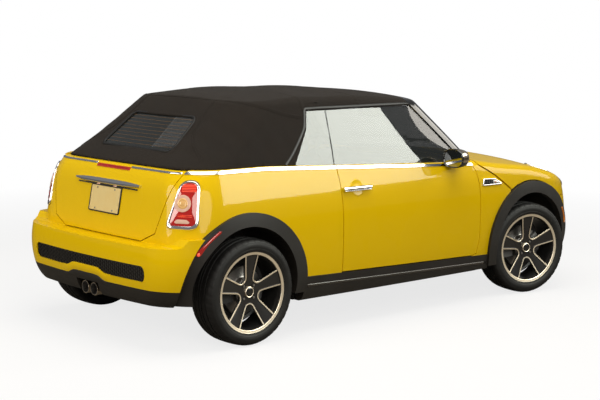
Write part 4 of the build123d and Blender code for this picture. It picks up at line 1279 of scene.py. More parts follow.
def makeHoneycomb():
    tree = nodeTree(["rear_valance"])
    shape = bmesh.new()
    cell = meshSet["cell"]
    across, up = cell * 1.5, cell * math.sqrt(3)
    bars = set()
    columns = int(meshSet["halfWidth"] / across)
    for column in range(-columns, columns + 1):
        for row in range(0, int((meshSet["high"] - meshSet["low"]) / up) + 1):
            y = column * across
            z = meshSet["low"] + cell * 0.9 + row * up + (up / 2 if column % 2 else 0)
            if z > meshSet["high"] - cell * 0.75:
                continue
            for corner in range(6):
                a = (y + cell * math.cos(math.pi / 3 * corner),
                     z + cell * math.sin(math.pi / 3 * corner))
                b = (y + cell * math.cos(math.pi / 3 * (corner + 1)),
                     z + cell * math.sin(math.pi / 3 * (corner + 1)))
                key = tuple(sorted(((round(a[0], 4), round(a[1], 4)), (round(b[0], 4), round(b[1], 4)))))
                bars.add(key)
    for (y1, z1), (y2, z2) in sorted(bars):
        starts = [Vector((-2.2, y1, z1)), Vector((-2.2, y2, z2))]
        points, normals = castLine(tree, starts, (1, 0, 0), 1.2)
        if len(points) < 2 or abs(points[0].x - points[1].x) > 0.02:
            continue
        sweepProfile(shape, points, normals,
                     [(-meshSet["line"], -0.001), (-meshSet["line"] * 0.7, 0.0042),
                                              (meshSet["line"] * 0.7, 0.0042),
                                              (meshSet["line"], -0.001)])
    honeycomb = newPiece("bumperMesh", shape, ["pianoBlack"], "body", smooth=False)


surroundSet = {
    "lift": 0.027, "end": 0.250, "foot": 0.336, "split": 0.352, "top": 0.3965,
    "rise": [(-0.250, 0.0), (-0.215, 0.0), (-0.185, 0.14), (-0.145, 0.72), (-0.110, 1.0), (0.0, 1.04),
             (0.110, 1.0), (0.145, 0.72), (0.185, 0.14), (0.215, 0.0), (0.250, 0.0)],
}


def makeBumperSurround():
    # the painted strip and the black edge under it, both arched over the pipes
    values = surroundSet
    skin = Skin(nodeTree(["rear_bumper"]), (-1.80, 0, 0.374), (0, -1, 0), (0, 0, 1), (0.28, 0.017))
    line = splineLine(values["rise"], 100)
    for name, finish, slot in (("bumperRise", "yellowPaint", "yellow_paint"),
                               ("pipeSurround", "blackPlastic", "black_plastic")):
        shape = bmesh.new()
        rings = []
        for y, share in line:
            lift = values["lift"] * max(0, share)
            ease = min(1, (values["end"] - abs(y)) / 0.05)
            low, high = ((values["split"] + lift, values["top"] + lift) if finish == "yellowPaint"
                         else (values["foot"], values["split"] + lift))
            proud = 0.0003 + (0.0032 if finish == "yellowPaint" else 0.0042) * ease
            rows = [(low, -0.010), (low, proud * 0.5), (low + 0.003, proud), (high - 0.003, proud),
                    (high, proud * 0.5), (high, -0.010)]
            rings.append([shape.verts.new(skin.at(-y, z - 0.374, rise)) for z, rise in rows])
        bridgeRings(shape, rings)
        piece = newPiece(name, shape, [finish], "body")
        sharpen(piece, 50)


def makePipes():
    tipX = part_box("exhaust")[0][0]
    shape = bmesh.new()
    for y in (-0.045, 0.045):
        place = Matrix.Translation((tipX, y, 0.281)) @ Matrix.Rotation(math.radians(90), 4, "Z")
        tube = [(0.0372, -0.0920), (0.0378, -0.0080), (0.0385, -0.0025), (0.0376, -0.0006),
                (0.0352, -0.0008),
                (0.0340, -0.0040), (0.0335, -0.0600), (0.0335, -0.0920)]
        spinProfile(shape, tube, 64, place, 0)
        spinProfile(shape, [(0.0336, -0.050), (0.0, -0.052), (0.0, -0.056), (0.0336, -0.056)], 64, place,
                    1)
    pipes = newPiece("exhaustTips", shape, ["warmChrome", "darkMetal"], "body")
    sharpen(pipes, 40)


def makeInsertCorners():
    # painted fillets that round the ends of the mesh insert
    reach = 0.034
    low, high, end = 0.3945, 0.4855, 0.5645
    for side in (-1, 1):
        skin = Skin(nodeTree(["rear_bumper"]), (-1.70, side * 0.56, 0.44), (0, -1, 0), (0, 0, 1),
                    (0.10, 0.075), order=3)
        shape = bmesh.new()
        for z, way in ((low, 1), (high, -1)):
            outline = [Vector((-side * end + side * 0.56, z - 0.44))]
            for k in range(13):
                angle = math.pi / 2 * k / 12
                y = side * (end - reach + reach * math.sin(angle))
                outline.append(Vector((side * 0.56 - y,
                                       z + way * (reach - reach * math.cos(angle)) - 0.44)))
            for rise in (0.0012, -0.009):
                ring = [shape.verts.new(skin.at(spot.x, spot.y, rise)) for spot in outline]
                if rise > 0:
                    top = ring
            for k in range(1, len(top) - 1):
                shape.faces.new((top[0], top[k], top[k + 1]))
            bridgeRings(shape, [top, ring], True, False, 0, caps=False)
        corner = newPiece("insertCorner_" + ("left" if side > 0 else "right"), shape,
                          ["yellowPaint"], "body")
        sharpen(corner, 40)


makeHoneycomb()
makeInsertCorners()
makeBumperSurround()
makePipes()
print("rear bumper fittings made")


# sides: handles, mirrors, scuttles, sill strip, window seals
def sideSkin(tree, x, z, side, half, skip=None):
    # a patch on a flank, where u runs towards the rear on the left and the front on the right
    return Skin(tree, (x, side * 0.83, z), (-side, 0, 0), (0, 0, 1), half, skip)


def sideWord(side):
    return "left" if side > 0 else "right"


def makeDoorHandle(side):
    word = sideWord(side)
    tree = nodeTree(["door_" + word])
    starts = [Vector((-0.563 + 0.232 * k / 48, side * 1.0, 0.8375)) for k in range(49)]
    points, normals = castLine(tree, starts, (0, -side, 0), 0.4)
    widths = [math.sqrt(max(0.03, 1 - (max(0, abs(2 * k / 48 - 1) - 0.90) / 0.10) ** 2))
              for k in range(len(points))]
    section = [(0.0138 * math.cos(math.pi * k / 8), 0.0145 + 0.0137 * math.sin(math.pi * k / 8))
               for k in range(16)]
    shape = bmesh.new()
    sweepProfile(shape, points, normals, section, widths=widths)
    bar = newPiece("doorHandle_" + word, shape, ["brightTrim"], "door_" + word)
    sharpen(bar, 60)
    skin = sideSkin(tree, -0.440, 0.840, side, (0.06, 0.06))
    shape = bmesh.new()
    skinLathe(shape, skin, (0, 0),
              [(0.0530, -0.0006), (0.0505, 0.0006), (0.0478, 0.0026), (0.0462, 0.0036),
                                    (0.0446, 0.0034), (0.0405, 0.0022), (0.0330, 0.0012),
                                    (0.0200, 0.0006),
                                    (0.0060, 0.0004)], 64)
    dish = newPiece("handleDish_" + word, shape, ["yellowPaint"], "door_" + word)
    # the lock barrel at the bar's front foot
    shape = bmesh.new()
    skinLathe(shape, sideSkin(tree, -0.330, 0.836, side, (0.03, 0.03)), (0, 0),
              [(0.0075, -0.0005), (0.0075, 0.0022), (0.0062, 0.0030), (0.0050, 0.0026),
               (0.0008, 0.0026)], 24)
    lock = newPiece("doorLock_" + word, shape, ["brightTrim"], "door_" + word)
    sharpen(lock)


mirrorSet = {"centre": (0.392, 0.856, 0.972), "half": (0.055, 0.083, 0.061)}


def makeMirror(side):
    word = sideWord(side)
    cx, cy, cz = mirrorSet["centre"]
    hx, hy, hz = mirrorSet["half"]
    stations = [(-0.93, 0.90), (-1.00, 0.955), (-0.97, 0.985), (-0.80, 1.0), (-0.45, 0.995),
                (-0.05, 0.955),
                (0.30, 0.87), (0.60, 0.72), (0.82, 0.52), (0.95, 0.28), (1.0, 0.05)]
    shape = bmesh.new()
    rings = []
    count = 56
    for along, scale in stations:
        ring = []
        for k in range(count):
            angle = 2 * math.pi * k / count
            c, s = math.cos(angle), math.sin(angle)
            reach = (abs(c) ** 2.7 + abs(s) ** 2.7) ** (-1 / 2.7)
            ring.append(shape.verts.new((cx + hx * along, side * (cy + hy * scale * reach * c),
                                         cz + hz * scale * reach * s)))
        rings.append(ring)
    bridgeRings(shape, rings, True, False, 0, caps=False)
    shape.faces.new(rings[-1])
    for face in shape.faces:
        middle = face.calc_center_median()
        black = middle.z < cz - 0.022 or middle.x < cx - hx * 0.78
        face.material_index = 1 if black else 0
    # the glass, set just inside the rim and a little crowned
    loops = []
    for scale, along in ((0.90, -0.93), (0.88, -0.86), (0.87, -0.885), (0.60, -0.905), (0.25, -0.915)):
        loop = []
        for k in range(count):
            angle = 2 * math.pi * k / count
            c, s = math.cos(angle), math.sin(angle)
            reach = (abs(c) ** 2.7 + abs(s) ** 2.7) ** (-1 / 2.7)
            loop.append(shape.verts.new((cx + hx * along, side * (cy + hy * scale * reach * c),
                                         cz + hz * scale * reach * s)))
        loops.append(loop)
    bridgeRings(shape, loops[:3], True, False, 1, caps=False)
    bridgeRings(shape, loops[2:], True, False, 2, caps=False)
    face = shape.faces.new(loops[-1])
    face.material_index = 2
    bmesh.ops.remove_doubles(shape, verts=shape.verts, dist=0.00005)
    head = newPiece("mirrorHead_" + word, shape, ["warmChrome", "pianoBlack", "mirrorGlass"],
                    "door_" + word)
    sharpen(head, 50)
    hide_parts("door_mirror_" + word)
    shape = bmesh.new()
    route = splineLine([(0.398, 0.846, 0.932), (0.404, 0.826, 0.922), (0.416, 0.795, 0.917),
                        (0.428, 0.765, 0.917),
                        (0.432, 0.745, 0.919)], 20)
    points = [Vector((x, side * y, z)) for x, y, z in route]
    section = [(0.026 * math.cos(2 * math.pi * k / 16), 0.0115 * math.sin(2 * math.pi * k / 16))
               for k in range(16)]
    sweepProfile(shape, points, [Vector((0, 0, 1))] * len(points), section)
    arm = newPiece("mirrorArm_" + word, shape, ["blackPlastic"], "door_" + word)
    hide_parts("door_mirror_" + word)


scuttleSet = {"x": 0.780, "z": 0.789, "corners": [(-0.098, -0.019), (-0.087, 0.021), (0.030, 0.016),
                                                  (0.098, -0.021)],
              "lamp": [(0.004, -0.011), (0.006, 0.009), (0.034, 0.007), (0.072, -0.013)]}


def makeScuttle(side):
    word = sideWord(side)
    tree = nodeTree(["side_scuttles"])
    skin = sideSkin(tree, scuttleSet["x"], scuttleSet["z"], side, (0.075, 0.013))
    outline = roundedOutline([(-side * x, z) for x, z in scuttleSet["corners"]], 0.010, 6)
    shape = bmesh.new()
    outlineBand(shape, skin, [spot * 0.965 for spot in outline],
                [(-0.0042, -0.004), (-0.0042, 0.0012), (-0.0025, 0.0030), (0.0025, 0.0030),
                 (0.0042, 0.0012),
                 (0.0042, -0.004)])
    frameBand = newPiece("scuttleFrame_" + word, shape, ["brightTrim"], "body")
    sharpen(frameBand, 60)
    shape = bmesh.new()
    inner = [spot * 0.90 for spot in outline]
    loop = fillPatch(shape, skin, inner, 0.0008, 0.0, 2, 0)
    skirt(shape, loop, inner, skin, -0.001, 0)
    lampLine = roundedOutline([(-side * x, z) for x, z in scuttleSet["lamp"]], 0.006, 5)
    lampLoop = fillPatch(shape, skin, lampLine, 0.0030, 0.0015, 4, 1)
    skirt(shape, lampLoop, lampLine, skin, 0.0, 1)
    skinLathe(shape, skin, (-side * 0.026, -0.003),
              [(0.0062, 0.0030), (0.0060, 0.0052), (0.0030, 0.0060),
                                                     (0.0005, 0.0062)], 24, 2)
    for step in range(4):
        x = -0.070 + step * 0.019
        points = [skin.at(-side * x, z, 0.0005) for z in (-0.013, -0.004, 0.005, 0.013)]
        normals = [skin.normal(-side * x, 0)] * 4
        sweepProfile(shape, points, normals, bandSection(0.0028, 0.0016, 0.001, 0.3), material=3)
    panel = newPiece("scuttlePanel_" + word, shape,
                     ["pianoBlack", "clearGlassy", "amberLens", "blackPlastic"], "body")
    sharpen(panel, 50)


def makeSillStrip(side):
    tree = nodeTree(["sill_trims"])
    low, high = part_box("sill_trims")
    starts = [Vector((low[0] + 0.03 + (high[0] - low[0] - 0.06) * k / 60, side * 1.0, 0.0))
              for k in range(61)]
    line = []
    for spot in starts:
        spot.z = 0.288 - 0.0258 * (spot.x + 0.565)
        line.append(spot)
    points, normals = castLine(tree, line, (0, -side, 0), 0.4)
    shape = bmesh.new()
    sweepProfile(shape, points, normals, bandSection(0.0085, 0.0028, 0.002, 0.45))
    strip = newPiece("sillStrip_" + sideWord(side), shape, ["satinStrip"], "body")


def makeWindowSeals(side):
    word = sideWord(side)
    tree = nodeTree(["fabric_top"])
    edge = splineLine([(-0.948, 0.992), (-0.870, 1.055), (-0.775, 1.150), (-0.728, 1.205),
                       (-0.705, 1.262),
                       (-0.688, 1.306), (-0.640, 1.3135), (-0.40, 1.3135), (0.0, 1.3135),
                       (0.22, 1.3125)], 130)
    points, normals = castLine(tree, [Vector((x, side * 1.1, z)) for x, z in edge], (0, -side, 0), 0.7)
    kept = [(spot, way) for spot, way in zip(points, normals) if abs(spot.y) > 0.45 and abs(way.y) > 0.3]
    shape = bmesh.new()
    sweepProfile(shape, [spot for spot, way in kept], [way for spot, way in kept],
                 bandSection(0.0080, 0.0030, 0.004, 0.4))
    seal = newPiece("windowSeal_" + word, shape, ["sealRubber"], "body")
    # the bar between the quarter glass and the door glass
    glassTree = nodeTree(["fixed_windows", "door_glass_" + word])
    line = [Vector((-0.553 + 0.034 * k / 24, side * 1.1, 0.985 + 0.318 * k / 24)) for k in range(25)]
    points, normals = castLine(glassTree, line, (0, -side, 0), 0.7)
    good = [(spot, way) for spot, way in zip(points, normals) if abs(way.y) > 0.5 and abs(spot.y) > 0.45]
    if len(good) > 3:
        shape = bmesh.new()
        sweepProfile(shape, [spot for spot, way in good], [way for spot, way in good],
                     bandSection(0.0110, 0.0050, 0.004, 0.3))
        bar = newPiece("windowBar_" + word, shape, ["satinStrip"], "body")


def makeRearWindow():
    tree = nodeTree(["fabric_top"])
    skin = Skin(tree, (-1.42, 0, 1.180), (0, -1, 0), (0, 0, 1), (0.43, 0.135), (0.362, 0.100))
    outline = roundedOutline([(-0.353, -0.094), (0.353, -0.094), (0.315, 0.092), (-0.315, 0.092)], 0.045,
                             10)
    shape = bmesh.new()
    outlineBand(shape, skin, outline, [(-0.0075, -0.006), (-0.0075, 0.0006), (-0.0035, 0.0028),
                                       (0.0035, 0.0028),
                                       (0.0075, 0.0006), (0.0075, -0.006)])
    bead = newPiece("rearGlassBead", shape, ["sealRubber"], "body")
    glassTree = nodeTree(["fixed_windows"])
    shape = bmesh.new()
    for step in range(9):
        z = 1.105 + 0.0185 * step
        half = 0.335 - 0.205 * (z - 1.09)
        points, normals = castLine(glassTree,
                                   [Vector((-2.0, -half + 2 * half * k / 20, z)) for k in range(21)],
                                   (1, 0, 0), 1.2)
        if len(points) > 2:
            sweepProfile(shape, points, normals,
                         [(-0.0007, -0.0003), (-0.0005, 0.0004), (0.0005, 0.0004),
                                                  (0.0007, -0.0003)])
    heater = newPiece("rearGlassHeater", shape, ["warmLine"], "body", smooth=False)


for side in (-1, 1):
    makeDoorHandle(side)
    makeMirror(side)
    makeScuttle(side)
    makeSillStrip(side)
    makeWindowSeals(side)
makeRearWindow()
print("side fittings made")

# front: headlamps, grilles, fog lamps, wipers
def makeHeadlamp(side):
    word = sideWord(side)
    tree = nodeTree(["headlamp_lenses"])
    skin = Skin(tree, (1.62, side * 0.565, 0.748), (0, 1, 0), (0, 0, 1), (0.068, 0.068))
    shape = bmesh.new()
    outlineBand(shape, skin, circleOutline(0.0960, (0, 0), 72),
                [(-0.0055, -0.004), (-0.0055, 0.0020), (-0.0030, 0.0055), (0.0030, 0.0055),
                 (0.0060, 0.0020),
                 (0.0060, -0.004)])
    ring = newPiece("headlampRing_" + word, shape, ["brightTrim"], "bonnet")
    shape = bmesh.new()
    skinLathe(shape, skin, (0, 0.018), [(0.0560, -0.0095), (0.0540, -0.0070), (0.0500, -0.0120),
                                        (0.0430, -0.0190),
                                        (0.0360, -0.0220), (0.0350, -0.0180), (0.0330, -0.0160),
                                        (0.0320, -0.0200)],
              48, 0)
    skinLathe(shape, skin, (0, 0.018), [(0.0320, -0.0180), (0.0300, -0.0120), (0.0220, -0.0085),
                                        (0.0110, -0.0072),
                                        (0.0010, -0.0070)], 40, 1)
    for u in (-0.042, 0.042):
        skinLathe(shape, skin, (u, -0.046), [(0.0200, -0.0110), (0.0185, -0.0085), (0.0140, -0.0130),
                                             (0.0080, -0.0150), (0.0075, -0.0095), (0.0040, -0.0075),
                                             (0.0008, -0.0070)], 32, 2 if u * side > 0 else 0)
    optics = newPiece("headlampOptics_" + word, shape,
                      ["lampBowl", "clearGlassy", "amberLens"], "bonnet")
    sharpen(optics, 40)


def makeGrilles():
    tree = nodeTree(["grilles"])
    shape = bmesh.new()
    sets = ((0.548, 0.628, 0.330, 0.400, 4, 0.0050, "bright"),
            (0.262, 0.385, 0.440, 0.500, 6, 0.0035, "dark"))
    for low, high, halfLow, halfHigh, count, thick, kind in sets:
        for step in range(count):
            share = (step + 0.5) / count
            z = low + (high - low) * share
            half = halfLow + (halfHigh - halfLow) * share - 0.018
            points, normals = castLine(tree,
                                       [Vector((2.2, -half + 2 * half * k / 48, z)) for k in range(49)],
                                       (-1, 0, 0), 1.2)
            if len(points) > 4:
                sweepProfile(shape, points, normals, bandSection(thick, 0.0060, 0.003, 0.4),
                             material=0 if kind == "bright" else 1)
    slats = newPiece("grilleSlats", shape, ["brightTrim", "pianoBlack"], "body")
    sharpen(slats, 50)
    for name, low, high, halfLow, halfHigh, finish in (
            ("upperGrilleFrame", 0.548, 0.628, 0.330, 0.400, "brightTrim"),
            ("lowerGrilleFrame", 0.262, 0.385, 0.440, 0.500, "blackPlastic")):
        centre = (low + high) / 2
        corners = [(-halfLow, low - centre), (halfLow, low - centre), (halfHigh, high - centre),
                   (-halfHigh, high - centre)]
        outline = roundedOutline(corners, 0.028, 8)
        outline = resample(outline, 0.02, True)
        points, normals = castLine(nodeTree(["grilles", "front_bumper", "bonnet"]),
                                   [Vector((2.2, spot.x * 1.008, centre + spot.y * 1.02))
                                    for spot in outline],
                                   (-1, 0, 0), 1.2)
        shape = bmesh.new()
        sweepProfile(shape, points, normals, bandSection(0.0075, 0.0060, 0.008, 0.4), True)
        ring = newPiece(name, shape, [finish], "body")


def makeFogLamps():
    tree = nodeTree(["fog_lamps"])
    for side in (-1, 1):
        skin = Skin(tree, (1.75, side * 0.625, 0.420), (0, 1, 0), (0, 0, 1), (0.033, 0.033))
        shape = bmesh.new()
        outlineBand(shape, skin, circleOutline(0.0475, (0, 0), 48),
                    [(-0.0040, -0.004), (-0.0040, 0.0016), (-0.0020, 0.0040), (0.0025, 0.0040),
                     (0.0045, 0.0010),
                     (0.0045, -0.004)], 0)
        for radius in (0.012, 0.022, 0.032):
            outlineBand(shape, skin, circleOutline(radius, (0, 0), 36),
                        [(-0.0010, -0.0005), (-0.0006, 0.0008), (0.0006, 0.0008), (0.0010, -0.0005)], 1)
        lamp = newPiece("fogLampRing_" + sideWord(side), shape, ["brightTrim", "clearGlassy"], "body")


def makeWipers():
    tree = nodeTree(["fixed_windows"])
    for number, (pivotY, tipY) in enumerate(((0.46, -0.06), (-0.04, -0.56))):
        blade = []
        for k in range(33):
            share = k / 32
            y = pivotY + (tipY - pivotY) * share
            blade.append(Vector((2.0, y, 1.012 + 0.016 * share)))
        points, normals = castLine(tree, blade, (-1, 0, 0), 1.7)
        normals = [way if way.z > 0 else -way for way in normals]
        shape = bmesh.new()
        sweepProfile(shape, points, normals,
                     [(-0.0030, 0.001), (-0.0060, 0.008), (-0.0045, 0.0125), (0.0045, 0.0125),
                                              (0.0060, 0.008), (0.0030, 0.001)])
        arm = []
        for k in range(17):
            share = k / 16
            base = points[0] + Vector((0.055, 0.02, -0.022))
            middle = points[min(17, len(points) - 1)] + normals[0] * 0.012
            lift = normals[0] * (0.010 * math.sin(math.pi * share))
            arm.append(base.lerp(middle, share) + lift + Vector((0, 0, 0.004)))
        sweepProfile(shape, arm, [normals[0]] * len(arm),
                     [(-0.0055, -0.003), (-0.0045, 0.003), (0.0045, 0.003),
                                                           (0.0055, -0.003)], material=1)
        wiper = newPiece("wiper_%d" % number, shape, ["sealRubber", "blackPlastic"], "body")
        sharpen(wiper, 50)


for side in (-1, 1):
    makeHeadlamp(side)
makeGrilles()
makeFogLamps()
makeWipers()
print("front fittings made")

# seats: crowned pads with bolsters, sewn channels and piping
padSets = {
    "seatBase": {"centre": (-0.090, 0.365, 0.400), "half": (0.246, 0.236, 0.066), "tilt": 0, "up": "z",
                 "channels": 5, "bolster": 0.020, "node": "seat_cushions", "both": True},
    "seatBack": {"centre": (-0.440, 0.365, 0.752), "half": (0.282, 0.232, 0.060), "tilt": -20, "up": "x",
                 "channels": 6, "bolster": 0.016, "node": "seat_backs", "both": True},
    "headrest": {"centre": (-0.565, 0.365, 1.090), "half": (0.068, 0.118, 0.041), "tilt": -14, "up": "x",
                 "channels": 0, "bolster": 0.0, "node": "seat_backs", "both": True},
    "rearBase": {"centre": (-0.878, 0, 0.4743), "half": (0.212, 0.408, 0.055), "tilt": 0, "up": "z",
                 "channels": 4, "bolster": 0.0, "node": "seat_cushions", "both": False},
    "rearBack": {"centre": (-1.224, 0, 0.6803), "half": (0.262, 0.416, 0.050), "tilt": -15, "up": "x",
                 "channels": 5, "bolster": 0.0, "node": "seat_backs", "both": False},
}


def padPlace(values, side):
    # from pad space, X along the seat or up the back, Y across, Z out of the face, to the row frame
    centre = Vector(values["centre"])
    centre.y *= side
    turn = Matrix.Rotation(math.radians(values["tilt"]), 4, "Y")
    stand = Matrix(((0, 0, 1, 0), (0, 1, 0, 0), (1, 0, 0, 0),
                    (0, 0, 0, 1))) if values["up"] == "x" else Matrix()
    return Matrix.Translation(centre) @ turn @ stand


def padPoint(values, a, b, c):
    # a, b, c run from -1 to 1; the face is at c = 1
    length, width, thick = values["half"]
    roundA = math.sqrt(max(0, 1 - 0.30 * b * b * abs(b) - 0.16 * c * c))
    roundB = math.sqrt(max(0, 1 - 0.22 * a * a * abs(a) - 0.16 * c * c))
    roundC = math.sqrt(max(0, 1 - 0.40 * a ** 6 - 0.40 * b ** 6))
    x, y, z = length * a * roundA, width * b * roundB, thick * c * roundC
    pull = 0.012 * (1 - c * c)
    x -= math.copysign(pull * (1 - b * b), a) * abs(a) ** 6
    y -= math.copysign(pull * (1 - a * a), b) * abs(b) ** 6
    if c > 0:
        crown = 0.012 * (1 - a * a) * (1 - b * b)
        inner = values["bolster"] and math.exp(-((abs(b) - 0.62) / 0.035) ** 2)
        z -= 0.010 * c - crown * c
        if values["bolster"]:
            rim = min(1, max(0, (abs(b) - 0.62) / 0.16))
            z += (values["bolster"] * rim * (1 - min(1,
                    max(0, (abs(b) - 0.86) / 0.14))) - 0.007 * inner) * c
        if values["channels"] and abs(b) < (0.60 if values["bolster"] else 0.90):
            wave = abs(math.sin(math.pi * (a + 1) / 2 * values["channels"]))
            z -= 0.0075 * (1 - wave) ** 5 * c * (1 if abs(a) < 0.92 else 0)
    return Vector((x, y, z))


def makePad(kind, values, side):
    place = padPlace(values, side)
    shape = bmesh.new()
    counts = (56, 48, 10)
    cache = {}

    def corner(a, b, c):
        key = (a, b, c)
        if key not in cache:
            cache[key] = shape.verts.new(place @ padPoint(values,
                                                          *(2 * v / n - 1 for v, n in zip(key, counts))))
        return cache[key]

    for axis in range(3):
        p, q = [k for k in range(3) if k != axis]
        for end in (0, counts[axis]):
            for i in range(counts[p]):
                for j in range(counts[q]):
                    quad = []
                    for di, dj in ((0, 0), (1, 0), (1, 1), (0, 1)):
                        spot = [0, 0, 0]
                        spot[axis], spot[p], spot[q] = end, i + di, j + dj
                        quad.append(corner(*spot))
                    shape.faces.new(quad)
    name = kind if not values["both"] else kind + "_" + sideWord(side)
    bmesh.ops.smooth_vert(shape, verts=[v for v in shape.verts], factor=0.5, use_axis_x=True,
                          use_axis_y=True,
                          use_axis_z=True)
    pad = newPiece(name, shape, ["seatCloth"], "body")
    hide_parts(values["node"])
    # piping along the pad's front edge
    edge = []
    for share in range(96):
        angle = 2 * math.pi * share / 96
        c, s = math.cos(angle), math.sin(angle)
        reach = max(abs(c), abs(s))
        edge.append((c / reach, s / reach))
    points = [place @ (padPoint(values, a * 0.985, b * 0.985, 0.80) * 1.002) for a, b in edge]
    face = (place.to_3x3() @ Vector((0, 0, 1))).normalized()
    shape = bmesh.new()
    sweepProfile(shape, points, [face] * len(points), roundSection(0.0042, 8), True)
    piping = newPiece("piping_" + name, shape, ["yellowPiping"], "body")
    if kind == "headrest":
        shape = bmesh.new()
        for offset in (-0.055, 0.055):
            top = place @ Vector((-0.050, offset, 0))
            foot = place @ Vector((-0.128, offset, 0.004))
            sweepProfile(shape, [foot, (foot + top) / 2, top], [Vector((1, 0, 0))] * 3,
                         roundSection(0.006, 12))
        posts = newPiece("headrestPosts_" + sideWord(side), shape, ["dullSteel"], "body")


for kind, values in padSets.items():
    for side in ((-1, 1) if values["both"] else (1,)):
        makePad(kind, values, side)
print("seats made")

# dashboard: a centre dial and three smaller round dials, each with a bright bezel, a dark face and ticks
def makeDials():
    tree = nodeTree(["dashboard"])
    shape = bmesh.new()
    for y, z, radius in ((0.0, 0.800, 0.085), (0.360, 0.855, 0.052), (0.560, 0.800, 0.036),
                         (-0.560, 0.800, 0.036)):
        hit = tree.ray_cast(Vector((-0.4, y, z)), Vector((1, 0, 0)), 2.0)[0]
        if hit is None:
            continue
        skin = Skin(tree, (hit.x, y, z), (0, -1, 0), (0, 0, 1), (radius * 0.9, radius * 0.9))
        skinLathe(shape, skin, (0, 0), [(radius, -0.002), (radius, 0.008), (radius * 0.95, 0.012),
                                        (radius * 0.88, 0.010), (radius * 0.86, 0.005)], 56, 0)
        skinLathe(shape, skin, (0, 0),
                  [(radius * 0.86, 0.0055), (radius * 0.5, 0.0060), (radius * 0.02, 0.0060)], 56, 1)
        for tick in range(0, 56, 4):
            angle = 2 * math.pi * tick / 56
            u, v = math.cos(angle), math.sin(angle)
            line = [skin.at(radius * share * u, radius * share * v, 0.0066) for share in (0.72, 0.80)]
            sweepProfile(shape, line, [skin.normal(0, 0)] * 2,
                         [(-0.0008, 0), (-0.0008, 0.0005), (0.0008, 0.0005),
                                                                (0.0008, 0)], material=2)
    dials = newPiece("dashDials", shape, ["brightTrim", "pianoBlack", "clearLens"], "body")
    sharpen(dials, 40)


makeDials()
print("cabin fittings made")


def softBox(shape, centre, half, radius, material=0, turn=None):
    # a block with rounded edges, added to a piece
    made = bmesh.ops.create_cube(shape, size=1)
    edges = list({edge for vertex in made["verts"] for edge in vertex.link_edges})
    bmesh.ops.scale(shape, vec=Vector(half) * 2, verts=made["verts"])
    faces = set(shape.faces)
    bent = bmesh.ops.bevel(shape, geom=edges, offset=radius, offset_type="OFFSET",
                           affect="EDGES", segments=3,
                           profile=0.5, material=-1, clamp_overlap=True)
    corners = set(bent["verts"]) | {v for face in set(shape.faces) - faces for v in face.verts}
    around = set(corners)
    for vertex in corners:
        for face in vertex.link_faces:
            around.update(face.verts)
            face.material_index = material
    place = Matrix.Translation(Vector(centre)) @ (turn.to_4x4() if turn else Matrix())
    bmesh.ops.transform(shape, matrix=place, verts=list(around))


def finishPiece(name, shape, materials, body, angle=40):
    piece = newPiece(name, shape, materials, body)
    sharpen(piece, angle)
    return piece


# door linings: a moulded card with a cloth inset, an armrest, a pull, a lever and a speaker
liningSet = {
    "middle": (0.040, 0.640), "half": (0.560, 0.275), "rise": 0.009, "cornerRadius": 0.055,
    "card": [(-0.515, 0.385), (0.560, 0.385), (0.590, 0.560), (0.590, 0.868), (-0.515, 0.922)],
    "inset": [(-0.430, 0.700), (0.270, 0.700), (0.400, 0.850), (-0.430, 0.885)],
    "restCentre": (-0.080, 0.665), "restHalf": (0.275, 0.034, 0.024), "pocketCentre": (-0.050, 0.450),
    "pocketHalf": (0.330, 0.020, 0.048), "speaker": (0.440, 0.500), "speakerRadius": 0.078,
    "lever": (0.455, 0.790), "pullStart": (0.285, 0.640), "pullEnd": (0.395, 0.765),
}


